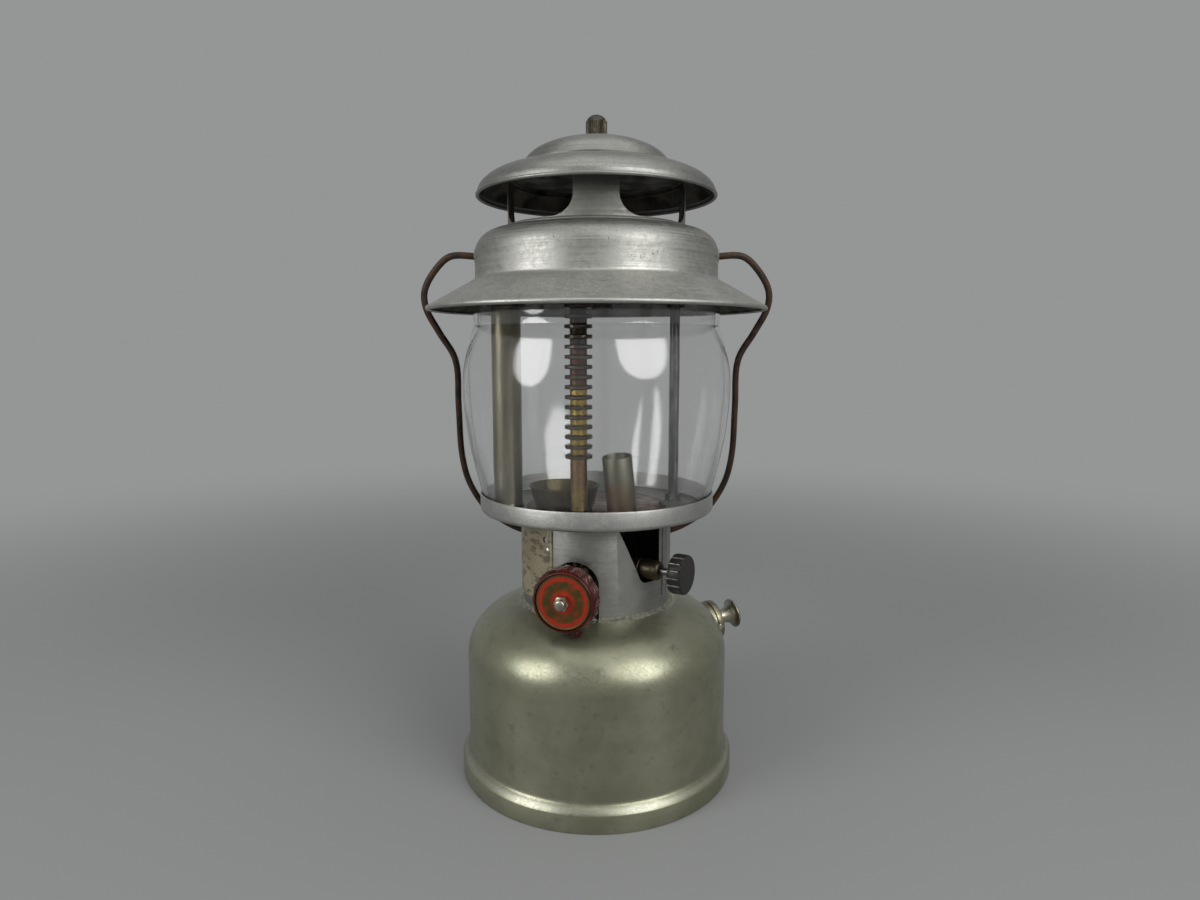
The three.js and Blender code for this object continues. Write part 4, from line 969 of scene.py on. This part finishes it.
tube_wall = turned("frame_collar_look", [
    (inner, collar_foot), (collar_radius, collar_foot), (collar_radius, collar_top - 0.8),
    (42.35, collar_top - 0.2), (41.9, collar_top), (35.6, collar_top), (35.6, collar_top - SHEET),
    (inner - 0.4, collar_top - SHEET), (inner, collar_top - 1.5)], steps=128)
grown(tube_wall, seam_strip(61, 2, 0.55), seam_strip(65.4, 0.35, 0.35))
arch_half, arch_middle, arch_azimuth = 13, 118, -16
arch = [(-arch_half, crown - 25), (arch_half, crown - 25),
        *arc((0, arch_middle), arch_half, arch_half, 0, 180, 32)]
half, top, foot = 14.4, collar_top - 2.2, 117.3
toe, toe_bend, heel_bend = 3.9, 5, 3
across, upward = toe + half, top - foot - toe_bend
slant = math.degrees(math.atan2(across, upward) - math.asin(toe_bend / math.hypot(across, upward)))
window = [(half, top), (-half, top), *arc((toe, foot + toe_bend), toe_bend, toe_bend, 180 + slant, 270, 12),
          *arc((half - heel_bend, foot + heel_bend), heel_bend, heel_bend, 270, 360, 8)]
cut(tube_wall, opening(arch, arch_azimuth), opening(window, 34.25),
    *floor_cutters(collar_top - 4, collar_top + 4))
lined(dress(eased(tube_wall, 0.12, 1, 60), collar_metal), lining, 42.2)

solder_outline = [(42.5, -0.6), (44.4, -0.8), (43.9, -0.2), (43.3, 0.2), (42.85, 0.6), (42.65, 1.0),
                  (42.5, 1.0)]
solder = turned("collar_solder_look", lifted(collar_foot, solder_outline), steps=128)
cut(solder, opening(oblong(arch_half, crown - 25, crown + 5), arch_azimuth))
smoothed(solder, crust, 50)
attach(solder, frame["nodes"]["frame_collar"]["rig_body"])

# %% [markdown]
# ## Instruction plate
# The plate is bent round the collar. It is cut from a thin tube by its own outline, a second, thinner tube
# gives its raised border, and it is left without any lettering. Two rivets hold it, and a small hole
# sits near its right edge.

# %% Instruction plate
plate_radius, plate_thick = collar_radius + 0.3, 0.6
skin = plate_radius + plate_thick
plate_foot, plate_top, _ = extent("instruction_plate")
plate_middle, half_turn = -71.65, 38.35
per_millimetre = math.degrees(1 / collar_radius)


def plate_outline(inset):
    half = plate_radius * math.sin(math.radians(half_turn)) - inset
    low, high, corner = plate_foot + inset, plate_top - inset, 5 - inset / 2
    return [(half, high), (-half, high), *arc((corner - half, low + corner), corner, corner, 180, 270, 8),
            *arc((half - corner, low + corner), corner, corner, 270, 360, 8)]


def plate_layer(name, inner, outer, inset):
    layer = tube(name, outer, inner, 100, 160, steps=160)
    return cut(layer, opening(plate_outline(inset), plate_middle, 1), operation="INTERSECT")


def plate_place(turn, drop):
    """A place that looks out of the plate, at an azimuth and a drop below the collar's top."""
    return facing(turn) @ Matrix.Translation((0, (collar_top - drop) * MM, 0))


sheet_metal = plate_layer("instruction_plate_look", plate_radius, skin, 0)
border = plate_layer("border", skin - 0.1, skin + 0.16, 1.3)
grown(sheet_metal, cut(border, opening(plate_outline(2.1), plate_middle, 1)))
cut(sheet_metal, rod(1.6, 30, 60, plate_place(plate_middle + half_turn - 4.6 * per_millimetre, 11.3), 24))
for i, side in ((1, 1), (2, -1)):
    place = plate_place(plate_middle + side * (half_turn - 3.2 * per_millimetre), 17.3)
    cut(sheet_metal, rod(1.15, 30, 60, place, 24))
    low, high, _ = extent(f"plate_rivet_{i}", place)
    rivet = turned(f"plate_rivet_look_{i}", [
        (0, low), (1.0, low), *lifted(skin, [(1.0, 0.05), (1.75, 0.05), (1.65, 0.3)]), (1.1, high - 0.05),
        (0, high)], place, 24)
    dress(rivet, bright_nickel)
dress(eased(sheet_metal, 0.08, 1, 50), plate_paint)

# %% [markdown]
# ## Gallery and floor
# The gallery is a shallow dish with a rounded corner and a folded lip, and it carries the globe. The inner
# floor plate lies in it under three slotted screws.

# %% Gallery
dish_low, lip, wide = extent("gallery")
bend, inner_bend = 2.4, 1.4
floor_low, floor_high, _ = extent("floor_plate")
gallery = turned("gallery_look", [
    (0, dish_low), *arc((wide - bend, dish_low + bend), bend, bend, -90, 0, 10), (wide, lip - 0.7),
    (wide - 0.15, lip - 0.25), (wide - 0.5, lip), (wide - 0.85, lip - 0.25), (wide - SHEET, lip - 0.7),
    *arc((wide - bend, floor_low + inner_bend), inner_bend, inner_bend, 0, -90, 8), (0, floor_low)],
                 steps=128)
air_place, rod_place = upright("air_tube"), upright("support_rod")
low, high = dish_low - 3, floor_low + 3
cut(gallery, *floor_cutters(low, high), rod(7.25, low, high, air_place, 48),
    rod(ROD_BORE, low, high, rod_place))
dress(gallery, gallery_metal)

floor = turned_like("floor_plate", [(-0.3, 0), (0, 0.3)], [(-0.05, 0.2), (-0.4, 0)])
dress(cut(floor, *floor_cutters(floor_low - 3, floor_high + 3)), floor_finish)
for i, turn in ((1, 40), (2, 100), (3, 15)):
    place = upright(f"gallery_screw_{i}") @ Matrix.Rotation(math.radians(turn), 4, "Z")
    size = extent(f"gallery_screw_{i}", place)
    dress(slotted_screw(f"gallery_screw_look_{i}", place, *size, 1.8), steel)

# %% [markdown]
# ## Uprights
# A tube brings air up at the left and a rod stands at the right; both end in the burner's sockets. The
# finned generator rises between them, over the fuel valve.

# %% Air tube and rod
dress(turned_like("air_tube", [(0, 0), (0, 1.2), (-0.25, 1.5), (8.6, 1.5), (8.3, 2.0), (8.25, 2.6)],
                  [(8.25, 0.2), (8.05, 0)], air_place, 64, measure("air_tube", air_place).bore), tube_metal)
dress(turned_like("support_rod", [(0, 0)], [(0, 0.5), (-0.5, 0)], rod_place, 48), steel)
dress(eased(straight("rod_foot_washer", rod_place, ROD_BORE), 0.25), steel)
dress(hex_nut("rod_foot_nut", rod_place, ROD_BORE), steel)

# %% Generator
size = measure("generator", generator_place)
core, wide = 4.5, size.radius
middle = generator_place.translation / MM
fin_levels = sorted({round(p.z, 1) for p in corners("generator")
                     if math.hypot(p.x - middle.x, p.y - middle.y) > wide - 1})
outline = [(size.bore, size.low), (core, size.low)]
for foot, top in zip(fin_levels[::2], fin_levels[1::2]):
    outline += [(core, foot - 0.25), (core + 0.3, foot), (wide - 0.35, foot + 0.1), (wide, foot + 0.45),
                (wide, top - 0.45), (wide - 0.35, top - 0.1), (core + 0.3, top), (core, top + 0.25)]
outline += [(core, size.high - 0.3), (core - 0.3, size.high), (size.bore, size.high)]
dress(turned("generator_look", outline, generator_place, 64), generator_finish)
dress(hex_nut("generator_foot_nut", generator_place, GENERATOR_BORE), dark_brass)
dress(turned_like("gas_tip", [(0, 0), (0, 2.8), (-0.2, 3)], [(1.9, 0)], generator_place, bore=1.2), brass)
print("fins:", len(fin_levels) // 2)

# %% [markdown]
# ## Fuel valve and its hand wheel
# The valve body stands in the tank's crown and sends an arm out through the arch. The wheel is a turned
# bulk cut to a lobed outline, so that its front lip stays round, and a pointer stands out below. Its face
# plate is held by a capped nut.

# %% Fuel valve
arm = measure("valve_packing_nut", valve_axis)
low, high, _ = extent("fuel_valve_body", generator_place)
wide, stem_bore = 7.5, 2.3
valve = turned("fuel_valve_body_look", [
    (3, low), (wide - 0.4, low), (wide, low + 0.4), (wide, high - 6), (wide - 0.5, high - 5.6),
    (wide - 0.5, high - 5.2), (wide, high - 4.8), (wide, high - 0.6), (wide - 0.6, high), (4.8, high),
    (4.8, high - 10), (3, high - 10)], generator_place, 64)
grown(valve, rod(5.2, 3.4, arm.low - 0.3, valve_axis))
cut(valve, rod(stem_bore, 0, arm.high, valve_axis))
dress(eased(valve, 0.2, 1, 50), dark_brass)
dress(hex_nut("valve_packing_nut", valve_axis, stem_bore), dark_brass)

# %% Hand wheel
LOBES = 16
back, front, _ = extent("valve_wheel", valve_axis)
wide, tab_middle = 17.5, (back + front) / 2
grip = turned_like(
    "valve_wheel", [(-2.4, 0), (-1, 0.5), (-0.2, 1.6), (0, 2.6)],
    [(0, 3.6), (-0.25, 2.6), (-0.9, 1.9), (-1.35, 1.3), (-1.5, 0.7), (-1.85, 0.2), (-2.2, 0)],
    valve_axis, 128, wide=wide)
shaped(grip, waved(wide, 1.1, LOBES, 10), "valve_wheel", valve_axis)
tab = plate([(-3, 0), (3, 0), (2.8, -18.6), (2.2, -19.9), (1.2, -20.4), (-1.2, -20.4), (-2.2, -19.9),
             (-2.8, -18.6)], tab_middle - 1.5, tab_middle + 1.5,
            valve_axis @ Matrix.Rotation(math.radians(19), 4, "Z"))
grown(grip, eased(tab, 0.5))
cut(grip, rod(14.9, front - 2, front + 4, valve_axis, 96),
    tube("cutter", 14.3, 6, back - 3, front - 4, valve_axis),
    rod(stem_bore, back - 3, front + 3, valve_axis))
dress(grip, maroon)
dress(turned_like("wheel_face_plate", [(0, 0)], [(0, 0.35), (-0.3, 0), (-0.7, 0), (-0.95, 0.2)], valve_axis,
                  bore=stem_bore), face_finish)

low, high, _ = extent("wheel_nut", valve_axis)
stem_top = measure("valve_stem", valve_axis).high + 0.3
acorn = turned_like("wheel_nut", [(3.6, 0), (4, 0.35), (4, 2.7), (3.4, 3)], (), valve_axis, 48)
shaped(acorn, circle(4, 6), "wheel_nut", valve_axis)
grown(acorn, turned("dome", [(0, low + 1), (2.9, low + 1), (2.9, high - 1.3),
                             *arc((1.5, high - 1.3), 1.4, 1.1, 0, 80, 6), (0, high)], valve_axis, 48))
dress(cut(acorn, rod(stem_bore, low - 2, stem_top, valve_axis)), bright_nickel)
dress(straight("valve_stem", valve_axis), steel)

# %% [markdown]
# ## Preheating torch
# A second small valve stands beside the first. A thin pipe bends from it into the foot of a leaning tube,
# which leads the starting flame up along the generator. Its knob has sixteen V grooves.

# %% Torch
feed_foot, feed_top = span_middle("torch_feed_pipe", min), span_middle("torch_feed_pipe", max)
torch_place = standing(feed_foot.x, feed_foot.y)
nut = measure("torch_packing_nut", torch_axis)
stem_bore = 2.2
torch = turned_like("torch_valve_body", [(-0.5, 0), (0, 0.5)],
                    [(0, 3.4), (-0.5, 3), (-0.5, 2.6), (0, 2.2), (0, 0.7), (-0.7, 0)], torch_place, 64,
                    wide=6.2)
grown(torch, rod(4.4, -16, nut.low - 0.3, torch_axis))
cut(torch, rod(stem_bore, -18, nut.low + 5, torch_axis))
dress(eased(torch, 0.2, 1, 50), dark_brass)
packing_nut = turned_like(
    "torch_packing_nut", [(-0.3, 0), (0, 0.3), (0, 4.2), (-0.35, 4.5), (-0.35, 5.0), (0, 5.3)],
    [(0, 2), (-0.25, 1.3), (-1, 0.2), (-1.5, 0)], torch_axis, 64, stem_bore)
dress(packing_nut, dark_brass)

low, _, wide = extent("torch_knob", torch_axis)
stem_top = measure("torch_stem", torch_axis).high + 0.3
knob = turned_like("torch_knob", [(-1.2, 0), (-0.3, 0.4), (0, 1.2)], [(0, 1.2), (-0.35, 0.4), (-1.1, 0)],
                   torch_axis)
shaped(knob, grooved(wide, 0.75, 16), "torch_knob", torch_axis)
dress(cut(knob, rod(stem_bore, low - 2, stem_top, torch_axis)), black, smooth=25)
dress(straight("torch_stem", torch_axis), steel)

flame_foot, flame_top = span_middle("torch_tube", min), span_middle("torch_tube", max)
lean = place_along(flame_foot * MM, flame_top - flame_foot)
high, wide = measure("torch_tube", lean).high, 8
flame = turned("torch_tube_look", [(wide - 0.9, -5), (wide, -5), (wide, high - 0.3), (wide - 0.2, high),
                                   (wide - 0.7, high), (wide - 0.9, high - 0.3)], lean, 64)
dress(cut(flame, rod(60, dish_low - 10, floor_high + 0.3)), torch_finish)
lift = Vector((0, 0, 4.2))
feed_path = smooth_path([feed_foot, feed_foot + lift, feed_top - 3.7 * lift, feed_top])
dress(swept("torch_feed_pipe_look", feed_path, 1.8), dark_brass)

cup_place = upright("spirit_cup")
low, high, wide = extent("spirit_cup", cup_place)
sole = 16
cup = turned("spirit_cup_look", [
    (0, low), (sole - 1.2, low), (sole - 0.3, low + 0.3), (sole + 0.1, low + 1.1), (wide - 0.5, high - 1.3),
    (wide, high - 0.9), (wide, high - 0.4), (wide - 0.4, high), (wide - 0.9, high - 0.1),
    (wide - 1.2, high - 0.6), (sole - 0.9, low + 1.6), (sole - 1.6, low + 0.9), (0, low + 0.8)], cup_place)
dress(cup, cup_brass)

# %% [markdown]
# ## Burner
# The burner is a casting: a hub with three arms, each ending in a socket over an upright. A short nozzle
# hangs below the hub, and the long stud that holds hood, chimney and cap together is screwed in on top.

# %% Burner
nozzle_low, hub_foot, _ = extent("burner_nozzle")
hub_outline = [(0, 0), (12, 0), (13, 1), (13, 8.6), (12.4, 9.6), (11.4, 10), (0, 10)]
hub = turned("burner_body_look", lifted(hub_foot, hub_outline))
bores = []
for name, reach in (("air_tube", 8.25), ("support_rod", 2.9), ("generator", 4.5)):
    place = upright(name)
    x, y = place.translation.x / MM, place.translation.y / MM
    length = math.hypot(x, y)
    arm = plate([(0, -5), (length * 0.6, -4), (length, -4), (length, 4), (length * 0.6, 4), (0, 5)],
                hub_foot, hub_foot + 7, Matrix.Rotation(math.atan2(y, x), 4, "Z"))
    socket = turned("socket", profile(hub_foot, 0, reach + 2.5, [
        (-0.4, -1.7), (0, -1.2), (0, 7.2), (-0.7, 8)]), place, 48)
    grown(hub, arm, socket)
    top = hub_foot + 6.4 if name == "generator" else measure(name, place).high + 0.3
    bores.append(rod(reach + 0.3, hub_foot - 5, top, place, 48))
stud = measure("vent_stud")
stud_bore, stud_radius, root = 2.7, 2.4, 2.15
cut(hub, *bores, rod(stud_bore, stud.low - 0.3, hub_foot + 12))
dress(eased(hub, 0.4, 2, 40), casting)
nozzle = turned("burner_nozzle_look", [
    (0, hub_foot - 1), (5.6, hub_foot - 1), *lifted(nozzle_low, [(6, 0.3), (6.3, 0), (8.6, 0), (9, 0.4)]),
    (9, hub_foot), (0, hub_foot)], steps=64)
dress(nozzle, casting)
threads = [(r, 12 - 0.9 * i - level) for i in range(12)
           for r, level in ((stud_radius, 0), (root, 0.3), (root, 0.45), (stud_radius, 0.75))]
threads += [(stud_radius, 0.6), (1.9, 0)]
dress(turned_like("vent_stud", [(stud_radius, 0)], threads, steps=32), steel)

# %% [markdown]
# ## Globe
# The globe's outline is a smooth curve through six measured points: a narrow foot, a bowl, a belly and a
# shoulder. A slightly flared neck stands on the shoulder with a crease. Both rims are fire
# polished, so they are rounded.

# %% Globe
low, high, belly = extent("globe")
thick, neck_foot = 2.4, 255.3
globe_points = [(62.4, low), (66.4, 168), (72.5, 196), (belly, 226), (72.1, 243), (68.4, neck_foot)]
curve = [(p.x, p.y) for p in smooth_path([Vector((r, z, 0)) for r, z in globe_points], 12)]
curve = [(r, z) for r, z in curve if low + 0.9 < z < neck_foot - 0.6]
curve += lifted(neck_foot, [(68.3, 0), (68.15, 0.8), (68.45, 4), (68.5, 8), (68.1, 14)])
curve.append((66.9, high - 1))
outside = [(61.2, low), (62.0, low + 0.25), *curve, (66.7, high - 0.3), (65.7, high)]
inside = [(64.8, high - 0.3), *[(r - thick, z) for r, z in reversed(curve)], (60.4, low + 0.25)]
dress(turned("globe_look", [*outside, *inside], steps=160), glass, smooth=50)

# %% [markdown]
# ## Hood, chimney and cap
# The hood is spun in one piece: a rolled bead, a sloping brim, a straight drum and a rounded shoulder. On
# it stands the chimney with four windows, and on that the cap, whose dome sits on a steep, rounded skirt.

# %% Hood
hood = measure("vent_hood")
bead, brim = 1.3, hood.low + 1.13
bead_middle = (hood.radius - bead, brim)
drum, bend, drum_top = 66.9, 12.5, hood.high
bend_middle, cone_top = (drum - bend, drum_top - bend), brim + 15.8
outside = [*arc(bead_middle, bead, bead, -75, 80, 12),
           *lifted(cone_top, [(drum + 1.4, -0.8), (drum + 0.6, -0.2), (drum + 0.15, 0.4), (drum, 1.2)]),
           *arc(bend_middle, bend, bend, 0, 90, 14),
           *lifted(drum_top, [(46, 0), (45.3, -0.2), (45, -0.6)])]
inside = [(45.2, drum_top - SHEET), *arc(bend_middle, bend - SHEET, bend - SHEET, 90, 0, 14),
          *lifted(cone_top, [(drum - SHEET, 1.9), (drum - 0.4, 0.1), (drum + 0.6, -1.2), (drum + 2, -2.2)]),
          *arc(bead_middle, bead, bead, 165, 262, 7)]
spun = turned("vent_hood_look", [*outside, *inside], steps=160)
pivot = joint_place("bail_swing").translation.z / MM
sides = [Matrix.Translation((0, 0, pivot * MM)) @ Matrix.Rotation(side * math.pi / 2, 4, "Y")
         for side in (1, -1)]
ferrule = lifted(drum, [(1, -1.4), (4.3, -1.4), (4.3, 0.2), (3.9, 0.6), (1, 0.6)])
for side in sides:
    grown(spun, turned("ferrule", ferrule, side, 32))
    cut(spun, rod(2.18, 40, drum + 4, side))
lined(dress(spun, hood_metal), soot, hood.radius - 2.5)

# %% Chimney
foot, top, flare = extent("vent_chimney")
outer = 48.7
chimney = turned("vent_chimney_look", [
    (outer - SHEET, foot), (flare, foot), (flare, foot + 0.8), (flare - 0.3, foot + 1.0),
    *arc((outer + 1.9, foot + 2.9), 1.9, 1.9, 270, 180, 6), *arc((outer - 2, top - 2), 2, 2, 0, 90, 6),
    (2.7, top), (2.7, top - SHEET), (outer - 2.2, top - SHEET), (outer - SHEET, top - 2.2)], steps=128)
half = outer * math.sin(math.pi / 4 - math.asin(11.5 / outer))
sill, lintel, corner, top_corner = foot + 2.6, foot + 26.5, 10.5, 5
vent = [*arc((corner - half, sill + corner), corner, corner, 180, 270, 12),
        *arc((half - corner, sill + corner), corner, corner, 270, 360, 12),
        *arc((half - top_corner, lintel - top_corner), top_corner, top_corner, 0, 90, 8),
        *arc((top_corner - half, lintel - top_corner), top_corner, top_corner, 90, 180, 8)]
cut(chimney, *[opening(vent, azimuth, 1) for azimuth in (45, 135, 225, 315)])
lined(dress(eased(chimney, 0.12, 1, 60), painted_shade_chimney_metal), soot, outer - 0.4)
# painted light: the upward faces of the chimney's foot get the brighter copy
chimney.data.materials.append(painted_light_flange_metal)
for face in chimney.data.polygons:
    if face.center.z < (foot + 1.4) * MM and face.normal.z > 0.2:
        face.material_index = 2

# %% Cap
rim_foot, dome_top, rim = extent("vent_cap")
step, step_level, bead = 40.3, rim_foot + 15.8, 0.95
edge, bead_middle = rim - 0.6, (rim - bead, rim_foot + bead)
width = (edge - step) / (1 - math.cos(math.radians(80)))
height = (step_level - rim_foot - 1) / math.sin(math.radians(80))
skirt_middle, dome_middle = (edge - width, rim_foot + 1), (0, step_level)
dome_height = dome_top - step_level
cover = turned("vent_cap_look", [
    *arc(bead_middle, bead, bead, -70, 75, 10), *arc(skirt_middle, width, height, 9, 78, 24),
    (step + 0.7, step_level + 0.5), (step + 0.85, step_level + 1.1), (step + 0.5, step_level + 1.7),
    *arc(dome_middle, step, dome_height, 10, 86.2, 20),
    *arc(dome_middle, step - SHEET, dome_height - SHEET, 86.1, 6, 16),
    *arc(skirt_middle, width - SHEET, height - SHEET, 80, 9, 20),
    *arc(bead_middle, bead, bead, 150, 270, 8)], steps=160)
lined(dress(cover, cap_metal), soot, rim - 2)

low, _, wide = extent("top_nut")
top_nut = turned_like("top_nut", [(-0.8, 0), (-0.6, 0.8), (-0.3, 1.1), (0, 1.5)],
                      [(0, 3.4), (-0.4, 2.7), (-1.3, 1.4), (-2.6, 0.4), (-3.4, 0)])
shaped(top_nut, waved(wide, 0.35, 36, 4), "top_nut")
dress(cut(top_nut, rod(stud_bore, low - 2, stud.high + 0.3)), bronze, smooth=25)

# %% [markdown]
# ## Bail
# The bail is one wire. It comes out of the drum, goes round the brim with a shoulder on each side, and
# hangs at the back against the collar. Its path is given as shares of its reach and its half width.

# %% Bail
lowest = [p for p in corners("bail") if abs(p.x) < 4]
hang_end = sum(lowest, Vector()) / len(lowest)
pivot_point = Vector((0, 0, pivot))
down = Vector((0, hang_end.y, hang_end.z)) - pivot_point
reach, down = down.length, down.normalized()
side_reach, bulge, wire_radius, stub = 82.5, 14.5, 1.88, drum - 3.6
shoulders = [(-0.1, 0), (0.5, 0.04), (1, 0.108), (1, 0.165), (0.56, 0.244), (0, 0.335)]
loop = [(1, 0.5), (1, 0.68), (0.958, 0.784), (0.848, 0.881), (0.727, 0.932), (0.57, 0.972), (0.3, 0.994)]
half = [(stub, 0), (drum, 0)]
half += [(side_reach + bulge * share, reach * fall) for share, fall in shoulders]
half += [(side_reach * share, reach * fall) for share, fall in loop]
right = [pivot_point + Vector((x, 0, 0)) + down * fall for x, fall in half]
left = [Vector((-p.x, p.y, p.z)) for p in reversed(right)]
bail = swept("bail_look", smooth_path([*right, pivot_point + down * reach, *left], 6), wire_radius)
stub_head = lifted(stub, [(0, -1.6), (2.8, -1.6), (3.2, -1.2), (3.2, 0.2), (2.8, 0.5), (0, 0.5)])
for side in sides:
    grown(bail, turned("stub_head", stub_head, side, 24))
dress(bail, rust)
print("bail reach:", round(reach, 1))

# %% [markdown]
# ## Pieces out of sight
# The pump's barrel and check valve, the pickup tube and the cleaning needle sit inside other pieces. They
# stay as the frame has them and only get a finish.

# %% Hidden pieces
for name, material in (("pump_barrel", brass), ("pump_check_valve", brass), ("fuel_pickup_tube", brass),
                       ("cleaning_needle", steel)):
    part = frame["nodes"][name]
    part.data.materials.clear()
    part.data.materials.append(material)
    print("kept:", name, material.name)

# %% [markdown]
# ## Studio
# Two large soft lamps stand at the left and the right, a little above the lantern, and a wide dim one hangs
# over it as the ceiling. The floor is a wide disc whose far part goes over into the colour of the wall.

# %% Lamps, floor and background
def area_lamp(name, azimuth, elevation, width, height, power):
    """A soft elliptical lamp that looks at the middle of the lantern."""
    target, distance = Vector((0, 0, 0.24)), 1.2
    turn, rise = math.radians(azimuth), math.radians(elevation)
    away = Vector((math.cos(rise) * math.sin(turn), -math.cos(rise) * math.cos(turn), math.sin(rise)))
    bpy.ops.object.light_add(type="AREA", location=target + away * distance)
    lamp = bpy.context.object
    lamp.name = lamp.data.name = name
    lamp.rotation_euler = away.to_track_quat("Z", "Y").to_euler()
    lamp.data.shape = "ELLIPSE"
    lamp.data.size, lamp.data.size_y = width, height
    lamp.data.energy = power
    lamp.visible_camera = False


rest()
area_lamp("left_lamp", -56, 19, 0.69, 0.85, 7.6)
area_lamp("right_lamp", 41, 27, 0.92, 0.92, 10.2)
area_lamp("ceiling_lamp", 25, 80, 1.6, 1.6, 6.8)
WALL_COLOR, FLOOR_COLOR, BLACK = (0.30, 0.305, 0.305), (0.222, 0.227, 0.227), (0, 0, 0)
world = bpy.data.worlds.new("studio")
bpy.context.scene.world = world
world.use_nodes = True
world.node_tree.nodes["Background"].inputs["Color"].default_value = (*WALL_COLOR, 1)


def studio_floor(near, far):
    """A pale floor that glows as bright as the background from a far radius on."""
    material = finish("studio_floor", FLOOR_COLOR, 0.0, 0.55)
    distance = ramp(around(material)[0], near, far)
    drive("Base Color", mixed(distance, FLOOR_COLOR, BLACK))
    drive("Emission Color", mixed(distance, BLACK, WALL_COLOR))
    drive("Specular IOR Level", ramp(distance, 0, 1, 0.4, 0))
    return tuned(material, {"Emission Strength": 1.0})


bpy.ops.mesh.primitive_circle_add(vertices=96, radius=8, fill_type="NGON", location=(0, 0, 0))
ground = bpy.context.object
ground.name = "studio_floor"
ground.data.materials.append(studio_floor(0.35, 1.3))

# %% [markdown]
# ## Camera
# The camera stands where the photo was taken from, measured from the ellipses of the rims in it.

# %% Camera
CAMERA_DROP = 7.58
bpy.ops.object.camera_add(location=(0.0019, -0.446, 0.245), rotation=(math.radians(90 - CAMERA_DROP), 0, 0))
camera = bpy.context.object
camera.data.lens, camera.data.sensor_width = 23.55, 36
scene = bpy.context.scene
scene.camera = camera
scene.view_settings.view_transform = "Standard"
print("camera:", tuple(round(v, 4) for v in camera.location))
